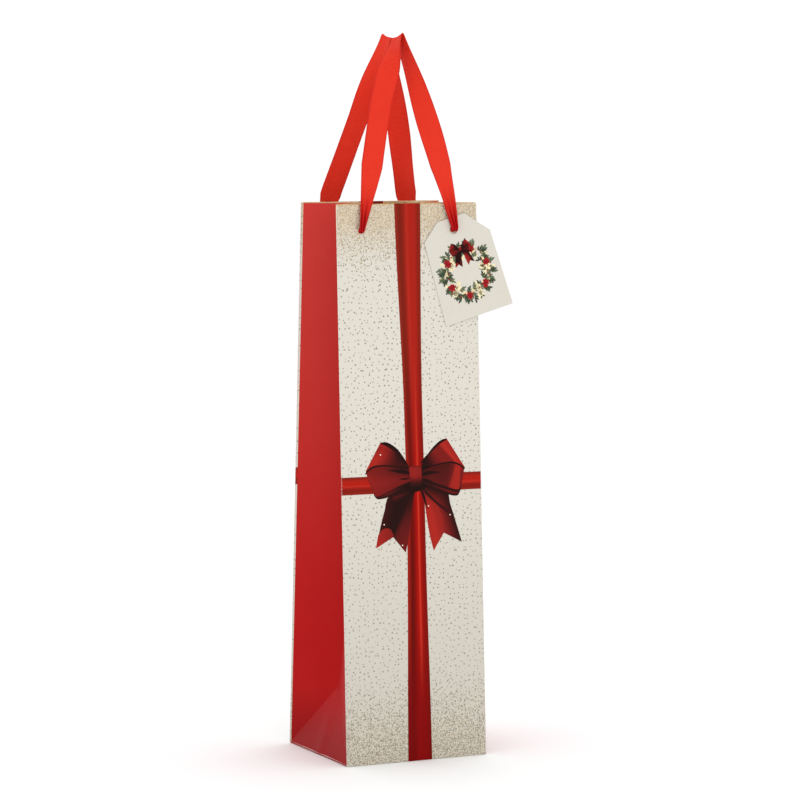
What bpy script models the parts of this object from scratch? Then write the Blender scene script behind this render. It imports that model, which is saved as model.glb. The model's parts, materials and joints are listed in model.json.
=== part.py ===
"""Bottle gift bag: a folded paper bag with two ribbon handles and a hanging tag.

Units are metres and +Z is up. The origin is the middle of the base, on the surface that the bag
stands on; -Y is the front. The bag stands with its mouth pinched: the front and back panels lean
towards each other and each side gusset is folded inwards along its centre crease.
"""

import math

import bmesh
import bpy
from mathutils import Matrix, Vector

# Driving dimensions of the bag.
WIDTH = 0.100
DEPTH = 0.092
HEIGHT = 0.360
FRONT_LEAN = 0.0158  # how far the front panel's top edge stands in from its bottom edge
BACK_LEAN = 0.0210

# Sheet thicknesses, and the gap that keeps neighbouring sheets apart.
PAPER = 0.0004
TOP_BOARD = 0.0008
BASE_BOARD = 0.0008
TAG_CARD = 0.0005
GAP = 0.0003

# The turned-in hem and the strip of board inside it.
HEM_HEIGHT = 0.040
HEM_SIDE = 0.0055  # how far a panel's hem and board stop short of the corner
GUSSET_HEM_SIDE = 0.0090
CORNER_CLEAR = 0.0019  # where a gusset leaf starts, measured from the corner crease
CREASE_CLEAR = 0.0003
DIAGONAL_CLEAR = 0.0005
SEAM_WIDTH = 0.012

# Handle holes, knots and ribbons.
HOLE_X = 0.0327
HOLE_BELOW_TOP = 0.018
HOLE_RADIUS = 0.0024
NECK_RADIUS = 0.0019
RIBBON_WIDTH = 0.0145
RIBBON_TIP_WIDTH = 0.0040
RIBBON_THICK = 0.0010
RIBBON_OUT = 0.0020  # the ribbon's middle, outwards from the panel's outer face
APEX_X = 0.0043
APEX_Y = 0.0077
APEX_Z = 0.4690  # where the two legs would meet if the top of the loop weren't rounded
BEND_Z = 0.3625  # just over the bag's top edge, where the legs turn in towards each other
BEND_X = {"front": (-0.0290, 0.0293), "back": (-0.0290, 0.0268)}
FULL_WIDTH_Z = {"front": 0.384, "back": 0.364}
# Heights between which each leg, left and right, turns a quarter turn.
TWISTS = {"front": ((0.430, 0.4665), (0.375, 0.466)), "back": ((0.412, 0.4665), (0.375, 0.466))}
# How far each leg bows sideways, as (share of the way up, distance).
BOWS = {
    "front": (((0.60, -0.0030),), ((0.25, 0.0016), (0.78, 0.0019))),
    "back": (((0.72, 0.0010),), ()),
}

# Gift tag.
TAG_WIDTH = 0.050
TAG_HEIGHT = 0.066
TAG_CLIP_X = 0.0155
TAG_CLIP_Z = 0.0125
TAG_HOLE_DOWN = 0.0080
TAG_HOLE_RADIUS = 0.0027
TAG_TILT = math.radians(16.4)

# The glued block bottom.
BASE_INSET_X = 0.0016
BASE_INSET_Y = 0.0010
FLAP_SHARE = 0.66  # of the depth; the two big flaps overlap by about a third of it
TUCK_SHARE = 0.36  # of the width
SEAM_IN = 0.0045  # how far the glue flap's edge stands in from the corner
SEAM_FOOT = 0.003

# A knot, as (distance behind the hem, radius).
KNOT_OUT = 0.0012  # how far its neck reaches out of the hole
KNOT_PROFILE = (
    (0.0002, 0.0034),
    (0.0012, 0.0046),
    (0.0030, 0.0050),
    (0.0048, 0.0044),
    (0.0062, 0.0026),
)
KNOT_LENGTH = 0.0066

# Worked out from the dimensions above.
HALF_WIDTH = WIDTH / 2
HALF_DEPTH = DEPTH / 2
FRONT_ANGLE = math.atan2(FRONT_LEAN, HEIGHT)
BACK_ANGLE = math.atan2(BACK_LEAN, HEIGHT)
MEAN_ANGLE = math.atan2((FRONT_LEAN + BACK_LEAN) / 2, HEIGHT)
BASE_ANGLE = math.acos((1 - math.sin(MEAN_ANGLE)) / math.cos(MEAN_ANGLE))
APEX_RISE = HALF_DEPTH * math.cos(BASE_ANGLE)
SIDES = {"front": (-1, FRONT_ANGLE), "back": (1, BACK_ANGLE)}


def clear_scene():
    for obj in list(bpy.data.objects):
        bpy.data.objects.remove(obj, do_unlink=True)


def material(name, colour, roughness, metallic=0.0):
    made = bpy.data.materials.new(name)
    made.use_nodes = True
    shader = made.node_tree.nodes["Principled BSDF"]
    shader.inputs["Base Color"].default_value = (*colour, 1.0)
    shader.inputs["Roughness"].default_value = roughness
    shader.inputs["Metallic"].default_value = metallic
    return made


def new_object(name, mesh, finish, parent=None):
    obj = bpy.data.objects.new(name, mesh)
    bpy.context.scene.collection.objects.link(obj)
    if finish:
        mesh.materials.append(finish)
    obj.parent = parent
    return obj


def empty(name, location, rotation=(0, 0, 0), parent=None):
    """A joint's frame: its origin lies on the joint's axis."""
    obj = bpy.data.objects.new(name, None)
    bpy.context.scene.collection.objects.link(obj)
    obj.empty_display_size = 0.01
    obj.location = location
    obj.rotation_euler = rotation
    obj.parent = parent
    return obj


def mesh_of(name, points, faces):
    """A closed mesh of these points and faces, with every face turned outwards."""
    mesh = bpy.data.meshes.new(name)
    mesh.from_pydata([tuple(p) for p in points], [], faces)
    shape = bmesh.new()
    shape.from_mesh(mesh)
    bmesh.ops.recalc_face_normals(shape, faces=shape.faces)
    shape.to_mesh(mesh)
    shape.free()
    return mesh


def prism(name, outline, low, high, axis):
    """The outline, drawn in the plane across axis, as a plate from low to high along it."""

    def at(point, level):
        place = list(point)
        place.insert(axis, level)
        return place

    count = len(outline)
    points = [at(p, low) for p in outline] + [at(p, high) for p in outline]
    faces = [tuple(range(count)), tuple(range(count, 2 * count))]
    for i in range(count):
        j = (i + 1) % count
        faces.append((i, j, count + j, count + i))
    return mesh_of(name, points, faces)


def box(name, low, high):
    outline = [(low[0], low[1]), (high[0], low[1]), (high[0], high[1]), (low[0], high[1])]
    return prism(name, outline, low[2], high[2], 2)


def turned(name, profile, steps):
    """A solid turned about the local Y axis from (y, radius) pairs that start and end on it."""
    points = [(0, profile[0][0], 0)]
    faces = []
    for y, radius in profile[1:-1]:
        for i in range(steps):
            angle = 2 * math.pi * i / steps
            points.append((radius * math.cos(angle), y, radius * math.sin(angle)))
    points.append((0, profile[-1][0], 0))
    rings = len(profile) - 2
    last = len(points) - 1
    for i in range(steps):
        j = (i + 1) % steps
        faces.append((0, 1 + i, 1 + j))
        faces.append((last, last - steps + i, last - steps + j))
        for ring in range(rings - 1):
            a = 1 + ring * steps
            faces.append((a + i, a + j, a + steps + j, a + steps + i))
    return mesh_of(name, points, faces)


def round_smooth(obj, degrees=35):
    obj.data.shade_smooth()
    obj.data.set_sharp_from_angle(angle=math.radians(degrees))


def cut(obj, cutter):
    modifier = obj.modifiers.new("cut_" + cutter.name, "BOOLEAN")
    modifier.operation = "DIFFERENCE"
    modifier.solver = "EXACT"
    modifier.object = cutter


def hole_cutter(name, radius, location, parent):
    profile = [(-0.006, 0), (-0.006, radius), (0.006, radius), (0.006, 0)]
    obj = new_object(name, turned(name, profile, 24), None, parent)
    obj.location = location
    obj.hide_render = True
    obj.display_type = "WIRE"
    return obj


def panel_slope(side):
    """The panel's length along its own slope."""
    return HEIGHT / math.cos(SIDES[side][1])


def hole_up(side):
    return (HEIGHT - HOLE_BELOW_TOP) / math.cos(SIDES[side][1])


def panel_y(side, z):
    """Where the panel's outer face is at height z."""
    sign, angle = SIDES[side]
    return sign * (HALF_DEPTH - z * math.tan(angle))


def layer(name, side, x, up, inwards, finish, hinge):
    """A flat plate in a panel's frame: x range, range up the slope, and depth behind its face."""
    sign = SIDES[side][0]
    near, far = sorted((-sign * inwards[0], -sign * inwards[1]))
    mesh = box(name, (x[0], near, up[0]), (x[1], far, up[1]))
    return new_object(name, mesh, finish, hinge)


def make_panel(side, hinge, finishes):
    """The panel, and behind its top edge the strip of board and the turned-in hem over it."""
    top = panel_slope(side)
    board_in = PAPER + GAP
    hem_in = board_in + TOP_BOARD + GAP
    across = (-HALF_WIDTH, HALF_WIDTH)
    inner = (-HALF_WIDTH + HEM_SIDE, HALF_WIDTH - HEM_SIDE)
    hem_up = (top - HEM_HEIGHT, top)
    board_up = (top - HEM_HEIGHT + 2 * GAP, top - 2 * GAP)
    made = [
        layer(side + "_panel", side, across, (GAP, top), (0, PAPER), finishes["cream"], hinge),
        layer(
            side + "_top_board",
            side,
            inner,
            board_up,
            (board_in, board_in + TOP_BOARD),
            finishes["board"],
            hinge,
        ),
        layer(side + "_hem", side, inner, hem_up, (hem_in, hem_in + PAPER), finishes["hem"], hinge),
    ]
    for end, x in (("left", -HOLE_X), ("right", HOLE_X)):
        cutter = hole_cutter(f"{side}_{end}_hole", HOLE_RADIUS, (x, 0, hole_up(side)), hinge)
        for obj in made:
            cut(obj, cutter)


def make_knots(side, hinge, finish):
    """Each ribbon end's knot behind the hem, with its neck through the hole."""
    sign = SIDES[side][0]
    behind = PAPER + GAP + TOP_BOARD + GAP + PAPER + GAP
    profile = [(-KNOT_OUT, 0), (-KNOT_OUT, NECK_RADIUS), (behind, NECK_RADIUS)]
    profile += [(behind + depth, radius) for depth, radius in KNOT_PROFILE]
    profile.append((behind + KNOT_LENGTH, 0))
    for end, x in (("left", -HOLE_X), ("right", HOLE_X)):
        name = f"{side}_{end}_knot"
        inwards = [(-sign * y, radius) for y, radius in profile]
        knot = new_object(name, turned(name, inwards, 20), finish, hinge)
        knot.location = (x, 0, hole_up(side))
        round_smooth(knot)


def crease_point(z):
    """The gusset's centre crease at height z, on the left side."""
    apart = DEPTH - (FRONT_LEAN + BACK_LEAN) * z / HEIGHT
    inset = math.sqrt(HALF_DEPTH**2 - (apart / 2) ** 2)
    middle = (FRONT_LEAN - BACK_LEAN) / 2 * z / HEIGHT
    return Vector((-HALF_WIDTH + inset, middle, z))


def leaf_rows(side, rows_low, rows_high):
    """(corner, crease) points up one leaf of the left gusset: first along the diagonal crease
    that runs from the bottom corner to the centre crease, then along the centre crease."""
    sign = SIDES[side][0]
    foot = Vector((-HALF_WIDTH, sign * HALF_DEPTH, 0))
    peak = crease_point(APEX_RISE)
    rows = []
    for i in range(rows_low):
        share = 0.08 + 0.92 * i / rows_low
        z = share * APEX_RISE
        rows.append((Vector((-HALF_WIDTH, panel_y(side, z), z)), foot.lerp(peak, share), True))
    for i in range(rows_high + 1):
        z = APEX_RISE + (HEIGHT - APEX_RISE) * i / rows_high
        rows.append((Vector((-HALF_WIDTH, panel_y(side, z), z)), crease_point(z), False))
    return rows


def thin_leaf(name, rows, depth_from, depth_to, inward, columns):
    """A closed twisted sheet through rows of (start, end) points, between two depths behind it."""
    outer, inner = [], []
    for index, (start, end) in enumerate(rows):
        before = rows[max(index - 1, 0)]
        after = rows[min(index + 1, len(rows) - 1)]
        for k in range(columns + 1):
            share = k / columns
            point = start.lerp(end, share)
            along = after[0].lerp(after[1], share) - before[0].lerp(before[1], share)
            normal = (end - start).cross(along).normalized()
            if normal.dot(inward) < 0:
                normal = -normal
            outer.append(point + normal * depth_from)
            inner.append(point + normal * depth_to)
    count = len(outer)
    wide = columns + 1
    faces = []
    for i in range(len(rows) - 1):
        for k in range(columns):
            a = i * wide + k
            quad = (a, a + 1, a + wide + 1, a + wide)
            faces.append(quad)
            faces.append(tuple(count + q for q in quad))
    rim = list(range(wide))
    rim += [i * wide + columns for i in range(1, len(rows))]
    rim += [(len(rows) - 1) * wide + k for k in range(columns - 1, -1, -1)]
    rim += [i * wide for i in range(len(rows) - 2, 0, -1)]
    for a, b in zip(rim, rim[1:] + rim[:1], strict=True):
        faces.append((a, b, count + b, count + a))
    return mesh_of(name, outer + inner, faces)


def keep_in_place(obj, frame):
    """Moves a mesh drawn in world coordinates under a joint's frame without moving its shape."""
    bpy.context.view_layer.update()
    obj.data.transform(frame.matrix_world.inverted())
    obj.parent = frame


def make_leaf(end, side, frame, finishes):
    """One half of a side gusset, and the hem turned in behind its top edge."""
    mirror = Matrix.Scale(1 if end == "left" else -1, 4, (1, 0, 0))
    inward = Vector((0.6, SIDES[side][0] * 0.4, 0))
    rows = []
    for corner, crease, diagonal in leaf_rows(side, 5, 18):
        way = (crease - corner).normalized()
        clear = DIAGONAL_CLEAR * math.sqrt(2) if diagonal else CREASE_CLEAR
        rows.append((corner + way * CORNER_CLEAR, crease - way * clear))
    hem_rows = []
    for i in range(4):
        z = HEIGHT - HEM_HEIGHT * (1 - i / 3)
        corner = Vector((-HALF_WIDTH, panel_y(side, z), z))
        way = (crease_point(z) - corner).normalized()
        start = corner + way * GUSSET_HEM_SIDE
        hem_rows.append((start, crease_point(z) - way * (CREASE_CLEAR + PAPER)))
    sheets = [
        (f"{end}_{side}_gusset", rows, 0, PAPER, finishes["red"]),
        (f"{end}_{side}_gusset_hem", hem_rows, PAPER + GAP, 2 * PAPER + GAP, finishes["hem"]),
    ]
    for name, sheet_rows, near, far, finish in sheets:
        mesh = thin_leaf(name, sheet_rows, near, far, inward, 6)
        mesh.transform(mirror)
        if end == "right":
            mesh.flip_normals()
        keep_in_place(new_object(name, mesh, finish), frame)


def make_base_triangle(end, hinge, finish):
    """The triangle at the foot of a gusset, between its two diagonal creases."""
    sign = 1 if end == "left" else -1
    low = 0.0005
    slant = HALF_DEPTH - DIAGONAL_CLEAR * math.sqrt(2)
    outline = [(-slant + low, low), (slant - low, low), (0, slant)]
    near, far = sorted((0, sign * PAPER))
    name = end + "_base_triangle"
    new_object(name, prism(name, outline, near, far, 0), finish, hinge)


def make_base(finishes):
    """The glued block bottom from the outside in, and the loose board that lies on it."""
    step = PAPER + GAP
    edge_x = HALF_WIDTH - BASE_INSET_X
    edge_y = HALF_DEPTH - BASE_INSET_Y
    flap = FLAP_SHARE * DEPTH
    tuck = TUCK_SHARE * WIDTH
    red, board = finishes["red"], finishes["board"]

    def sheet(name, x, y, low, thick, finish):
        new_object(name, box(name, (x[0], y[0], low), (x[1], y[1], low + thick)), finish)

    across = (-edge_x, edge_x)
    sheet("back_bottom_flap", across, (edge_y - flap, edge_y), 0, PAPER, red)
    sheet("front_bottom_flap", across, (-edge_y, flap - edge_y), step, PAPER, red)
    sheet("left_bottom_tuck", (-edge_x, tuck - edge_x), (-edge_y, edge_y), 2 * step, PAPER, red)
    sheet("right_bottom_tuck", (edge_x - tuck, edge_x), (-edge_y, edge_y), 2 * step, PAPER, red)
    sheet("base_board", across, (-edge_y, edge_y), 3 * step, BASE_BOARD, board)


def make_seam(hinge, finish):
    """The glue flap down the inside of the back panel's right edge."""
    start = HALF_WIDTH - SEAM_IN
    behind = PAPER + GAP
    up = (SEAM_FOOT, panel_slope("back") - HEM_HEIGHT - 2 * GAP)
    layer(
        "side_seam_flap",
        "back",
        (start - SEAM_WIDTH, start),
        up,
        (behind, behind + PAPER),
        finish,
        hinge,
    )


def smooth_step(low, high, value):
    share = min(max((value - low) / (high - low), 0), 1)
    return share * share * (3 - 2 * share)


def rounded_path(corners, reach, spacing):
    """Points along straight runs between corners, each corner rounded over its reach."""
    points = [corners[0]]
    for i in range(1, len(corners) - 1):
        before = (corners[i - 1] - corners[i]).normalized() * reach[i - 1]
        after = (corners[i + 1] - corners[i]).normalized() * reach[i - 1]
        start, end = corners[i] + before, corners[i] + after
        for k in range(9):
            share = k / 8
            points.append(start.lerp(corners[i], share).lerp(corners[i].lerp(end, share), share))
    points.append(corners[-1])
    filled = [points[0]]
    for a, b in zip(points, points[1:], strict=False):
        steps = max(1, round((b - a).length / spacing))
        filled += [a.lerp(b, (k + 1) / steps) for k in range(steps)]
    return filled


def handle_corners(side):
    """Corners of the ribbon's centre line, from the left hole over the top to the right hole,
    each but the first and last with the reach of its rounding."""
    sign, angle = SIDES[side]
    out = RIBBON_OUT / math.cos(angle)

    def against(x, z):
        return Vector((x, panel_y(side, z) + sign * out, z))

    hole_z = HEIGHT - HOLE_BELOW_TOP + RIBBON_OUT * math.sin(angle)
    apex = Vector((APEX_X, sign * APEX_Y, APEX_Z))
    left, right = (against(x, BEND_Z) for x in BEND_X[side])
    bowed = [
        [(foot.lerp(apex, share) + Vector((way, 0, 0)), 0.012) for share, way in bow]
        for foot, bow in zip((left, right), BOWS[side], strict=True)
    ]
    return [
        (against(-HOLE_X, hole_z), None),
        (left, 0.008),
        *bowed[0],
        (apex, 0.0035),
        *bowed[1][::-1],
        (right, 0.008),
        (against(HOLE_X, hole_z), None),
    ]


def make_handle(side, frame, finish):
    """A flat ribbon loop, gathered at the holes. Each leg turns a quarter turn near the top."""
    corners = handle_corners(side)
    path = rounded_path([c for c, _ in corners], [r for _, r in corners[1:-1]], 0.005)
    apex = max((c for c, _ in corners), key=lambda corner: corner.z)
    normal = (corners[1][0] - apex).cross(corners[-2][0] - apex).normalized()
    if normal.y > 0:
        normal = -normal
    points = []
    for i, centre in enumerate(path):
        tangent = (path[min(i + 1, len(path) - 1)] - path[max(i - 1, 0)]).normalized()
        turn = math.pi / 2 * smooth_step(*TWISTS[side][centre.x > APEX_X], centre.z)
        flat = Vector((1, 0, 0)) - tangent * tangent.x
        flat = flat.normalized() if math.cos(turn) > 1e-6 else Vector((0, 0, 0))
        across = flat * math.cos(turn) + normal * math.sin(turn)
        across = (across - tangent * across.dot(tangent)).normalized()
        low = HEIGHT - HOLE_BELOW_TOP
        spread = min(1, max(0, (centre.z - low) / (FULL_WIDTH_Z[side] - low)))
        half = (RIBBON_TIP_WIDTH + (RIBBON_WIDTH - RIBBON_TIP_WIDTH) * spread) / 2
        thick = tangent.cross(across) * RIBBON_THICK / 2
        for a, b in ((-1, -1), (1, -1), (1, 1), (-1, 1)):
            points.append(centre + across * half * a + thick * b)
    faces = [(0, 1, 2, 3)]
    for i in range(len(path) - 1):
        for k in range(4):
            j = (k + 1) % 4
            faces.append((4 * i + k, 4 * i + j, 4 * i + 4 + j, 4 * i + 4 + k))
    last = 4 * (len(path) - 1)
    faces.append((last, last + 1, last + 2, last + 3))
    name = side + "_handle_ribbon"
    obj = new_object(name, mesh_of(name, points, faces), finish)
    round_smooth(obj)
    keep_in_place(obj, frame)


def make_tag(hinge, finish):
    """A card tag with clipped upper corners, hung by its hole on the right end of the ribbon."""
    frame = empty(
        "tag_swing_frame",
        (HOLE_X, -GAP - TAG_CARD / 2, hole_up("front")),
        (0, -TAG_TILT, 0),
        hinge,
    )
    half, top, foot = TAG_WIDTH / 2, TAG_HOLE_DOWN, TAG_HOLE_DOWN - TAG_HEIGHT
    outline = [
        (-half, foot),
        (half, foot),
        (half, top - TAG_CLIP_Z),
        (half - TAG_CLIP_X, top),
        (TAG_CLIP_X - half, top),
        (-half, top - TAG_CLIP_Z),
    ]
    mesh = prism("gift_tag", outline, -TAG_CARD / 2, TAG_CARD / 2, 1)
    tag = new_object("gift_tag", mesh, finish, frame)
    cut(tag, hole_cutter("tag_hole", TAG_HOLE_RADIUS, (0, 0, 0), frame))


def main():
    clear_scene()
    finishes = {
        "cream": material("cream_paper", (0.76, 0.69, 0.60), 0.45),
        "red": material("red_paper", (0.43, 0.010, 0.012), 0.40),
        "hem": material("gold_hem_paper", (0.62, 0.48, 0.30), 0.45, 0.3),
        "board": material("grey_board", (0.45, 0.42, 0.38), 0.85),
        "ribbon": material("red_ribbon", (0.75, 0.035, 0.012), 0.60),
        "tag": material("white_card", (0.82, 0.79, 0.74), 0.40),
    }
    make_base(finishes)
    for side, (sign, angle) in SIDES.items():
        hinge = empty(side + "_hinge", (0, sign * HALF_DEPTH, 0), (sign * angle, 0, 0))
        make_panel(side, hinge, finishes)
        make_knots(side, hinge, finishes["ribbon"])
        swing = empty(side + "_handle_frame", (0, sign * RIBBON_OUT, hole_up(side)), (0, 0, 0), hinge)
        make_handle(side, swing, finishes["ribbon"])
        for end, x in (("left", -HALF_WIDTH), ("right", HALF_WIDTH)):
            fold = empty(f"{end}_{side}_fold", (x, 0, 0), (0, 0, 0), hinge)
            make_leaf(end, side, fold, finishes)
        if side == "front":
            make_tag(hinge, finishes["tag"])
        else:
            make_seam(hinge, finishes["red"])
    for end, sign in (("left", 1), ("right", -1)):
        place = (-sign * HALF_WIDTH, 0, 0)
        hinge = empty(end + "_base_hinge", place, (0, sign * BASE_ANGLE, 0))
        make_base_triangle(end, hinge, finishes["red"])


main()
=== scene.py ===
"""Looks of the bottle gift bag: folded printed paper, woven ribbon handles and a card tag.

Everything is in metres in the CAD frame. The paper is drawn as thin sheets whose UV map is the flat
sheet in metres: u runs round the bag from a panel's middle, and v runs up the sheet from the base
and on over the top edge into the turned-in hem.
"""
import json
import math
import random

import bmesh
import bpy
from mathutils import Matrix, Vector


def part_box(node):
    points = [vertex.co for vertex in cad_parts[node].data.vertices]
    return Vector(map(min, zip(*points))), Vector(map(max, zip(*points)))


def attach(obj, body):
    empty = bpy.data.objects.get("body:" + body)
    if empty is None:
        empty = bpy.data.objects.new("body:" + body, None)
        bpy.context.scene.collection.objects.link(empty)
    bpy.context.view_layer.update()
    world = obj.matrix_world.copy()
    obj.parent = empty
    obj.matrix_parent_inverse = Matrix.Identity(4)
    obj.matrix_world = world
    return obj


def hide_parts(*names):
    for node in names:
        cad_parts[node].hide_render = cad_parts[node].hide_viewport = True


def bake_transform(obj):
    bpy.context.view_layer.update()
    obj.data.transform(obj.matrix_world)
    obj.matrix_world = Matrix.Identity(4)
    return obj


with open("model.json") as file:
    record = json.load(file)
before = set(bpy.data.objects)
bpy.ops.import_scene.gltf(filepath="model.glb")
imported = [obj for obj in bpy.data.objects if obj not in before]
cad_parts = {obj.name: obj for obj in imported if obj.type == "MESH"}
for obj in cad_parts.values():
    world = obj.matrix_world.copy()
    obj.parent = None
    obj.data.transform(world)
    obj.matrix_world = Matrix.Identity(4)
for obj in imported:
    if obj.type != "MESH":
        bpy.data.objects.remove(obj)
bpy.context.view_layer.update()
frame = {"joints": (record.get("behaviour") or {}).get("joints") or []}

JOINTS = {joint["name"]: joint for joint in frame["joints"]}
X_AXIS = Vector((1, 0, 0))

# The bag's own sizes, read from the frame.
HALF_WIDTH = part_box("front_panel")[1].x
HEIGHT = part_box("front_panel")[1].z
HALF_DEPTH = -JOINTS["mouth_open"]["pos_m"][1]
HEM_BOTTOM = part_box("front_hem")[0].z
HANDLE_AXIS = {side: Vector(JOINTS[side + "_handle_swing"]["pos_m"]) for side in ("front", "back")}
TAG_PIVOT = Vector(JOINTS["tag_swing"]["pos_m"])
HOLE_X = TAG_PIVOT.x

# Paper, board and card.
PAPER = 0.0003
FOLD_RADIUS = 0.0007  # of the top edge, folded over its board
LEAF_FOLD_RADIUS = 0.00035  # of a gusset leaf's top edge, which has no board
LEAF_MITRE = 0.0060  # how far a gusset leaf's turned-in hem stops short of the corner
LEAF_WAVE = 0.0005  # how far a gusset leaf bows
LEAF_FOOT = 0.0006  # how far its lowest edge is over the floor
# The foot triangle's extent as shares of its height, which keep its sheet over the floor and under
# its peak; the rise of the faint crease down its middle, and how far it is hollow.
FOOT_SHARES = (0.0078, 0.996)
FOOT_RIDGE = 0.00055
FOOT_HOLLOW = 0.0007
EDGE_ROUND = 0.0006  # how far a panel's side edge curls into the gusset
BULGE = 0.0005  # how far a panel bows out in its middle
HOLE_RADIUS = 0.0019
HOLE_RISE = 0.0009  # how far a hole's middle is over its joint's axis
BOARD = 0.0007
BOARD_SIDE = 0.0050  # how far a board stops short of the panel's side edges
BOARD_END = 0.0008
GLUE = 0.00005  # the gap between sheets that lie on each other
HEM_SIDE = 0.0034  # how far the turned-in hem stops short of the panel's side edges
BLOCK_CUT = 0.006  # the corners taken off the bottom's big flaps

# Ribbon handles; the route is the CAD ribbon's.
RIBBON_WIDTH = 0.0145
RIBBON_TIP_WIDTH = 0.0035  # where it is gathered, at the holes
RIBBON_THICK = 0.0006
RIBBON_OUT = 0.0020  # how far its middle stands out from the panel's outer face
KNOT_IN = 0.0056  # the knot's middle, inwards from the panel's outer face
TAIL_LENGTH = 0.017
TAIL_WIDTH = 0.0105
TAIL_NECK = 0.0032
TAIL_NOTCH = 0.0022
KNOT_SIZE = 0.00185
KNOT_STRAND = (0.0017, 0.0011)  # half the ribbon's width and thickness, bunched up in the knot
RIBBON_IN = 0.0035  # how far its middle line goes in behind the panel's outer face
# Reach of the rounding at a hole, where a leg leaves the panel, at a sideways bow and at the top.
HOLE_TURN, PANEL_TURN, BOW_TURN, APEX_TURN = 0.0018, 0.008, 0.012, 0.0035
RIBBON_OVER_TAG = 0.0012  # how much farther out the ribbon stands where the tag hangs on it
# The loop's highest point, with y counted from the bag's middle towards the ribbon's own side, and
# the point where each leg, left and right, bends away from the panel.
APEX_X = 0.0043
APEX_Y = 0.0077
APEX_Z = 0.4690
BEND_Z = 0.3625
BEND_X = {"front": (-0.0290, 0.0293), "back": (-0.0290, 0.0268)}
FULL_WIDTH_Z = {"front": 0.384, "back": 0.364}
# Heights between which each leg, left and right, turns a quarter turn.
TWISTS = {"front": ((0.430, 0.4665), (0.375, 0.466)), "back": ((0.412, 0.4665), (0.375, 0.466))}
# (share of the way up, distance) that the left and the right leg bow sideways.
BOWS = {"front": (((0.60, -0.0030),), ((0.25, 0.0016), (0.78, 0.0019))), "back": (((0.72, 0.0010),), ())}

# Tag.
# Its left and right edges, as (height over its pivot, x) from the foot up.
TAG_LEFT = ((-0.0577, -0.0236), (-0.0016, -0.0223), (0.0084, -0.0097))
TAG_RIGHT = ((-0.0577, 0.0258), (-0.0072, 0.0250), (0.0084, 0.0107))
TAG_TILT = math.radians(16.4)
TAG_CARD = 0.0004
TAG_HOLE = 0.0027
TAG_TWIST = 0.0024  # how far its lower right corner stands out from the panel
WREATH_X = 0.0012
WREATH_DOWN = 0.0284
TAG_BOW_SIZE = 0.232  # against the bow on the panels
TAG_BOW_AT = Vector((-0.4, 15.4)) * 0.001  # from the wreath's middle

# Printed design, in metres on the flat sheet.
WRAP = 0.0017  # the cream print runs this far round each corner onto the gusset
RIBBON_HALF = 0.0066  # half the printed upright ribbon's width in its middle
RIBBON_FLARE = 0.0022  # how much wider each half is at the base
HIGH_FLARE = 1.35  # the flare at the top edge, against that at the base
UPRIGHT_STREAKS = (420.0, 9.0, 1.0)  # how fine the streaks are, along u and v
CROSS_STREAKS = (12.0, 420.0, 1.0)
GLITTER_FROM_TOP = 0.062  # where the dots begin to thicken, below the top edge
GLITTER_FROM_BASE = 0.078
CROSS_HEIGHT = 0.1800
CROSS_HALF = 0.0058
BOW_DEPTH = 0.88  # what the printed bow keeps of the tones it is drawn with
BOW_X = 0.0022
BOW_Z = 0.1847
DECAL_RISE = 0.00004

# Camera: a long lens, so the view is nearly parallel.
CAMERA_YAW = math.radians(25.43)
CAMERA_PITCH = math.radians(5.11)
CAMERA_DISTANCE = 2.2
CAMERA_TARGET = Vector((0, 0, 0.18))
CAMERA_SLIDE = (0.0086, 0.0505)
CAMERA_LENS = 151.1

# Lights: (name, place, size, power), a key from the front left and one from above.
LIGHTS = (("key", (-0.4, -1.8, 0.75), 0.9, 4.0), ("top", (0.3, 0.6, 1.9), 1.2, 3.0))
LIT = Vector((0, 0, 0.22))
SURROUND = 1.06


def srgb(red, green, blue):
    """A colour given as 0 to 255 screen values, as linear light."""

    def linear(value):
        value /= 255
        return value / 12.92 if value <= 0.04045 else ((value + 0.055) / 1.055) ** 2.4

    return (linear(red), linear(green), linear(blue), 1.0)


def smooth_step(low, high, value):
    share = min(max((value - low) / (high - low), 0), 1)
    return share * share * (3 - 2 * share)


# ---------------------------------------------------------------- materials


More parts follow.
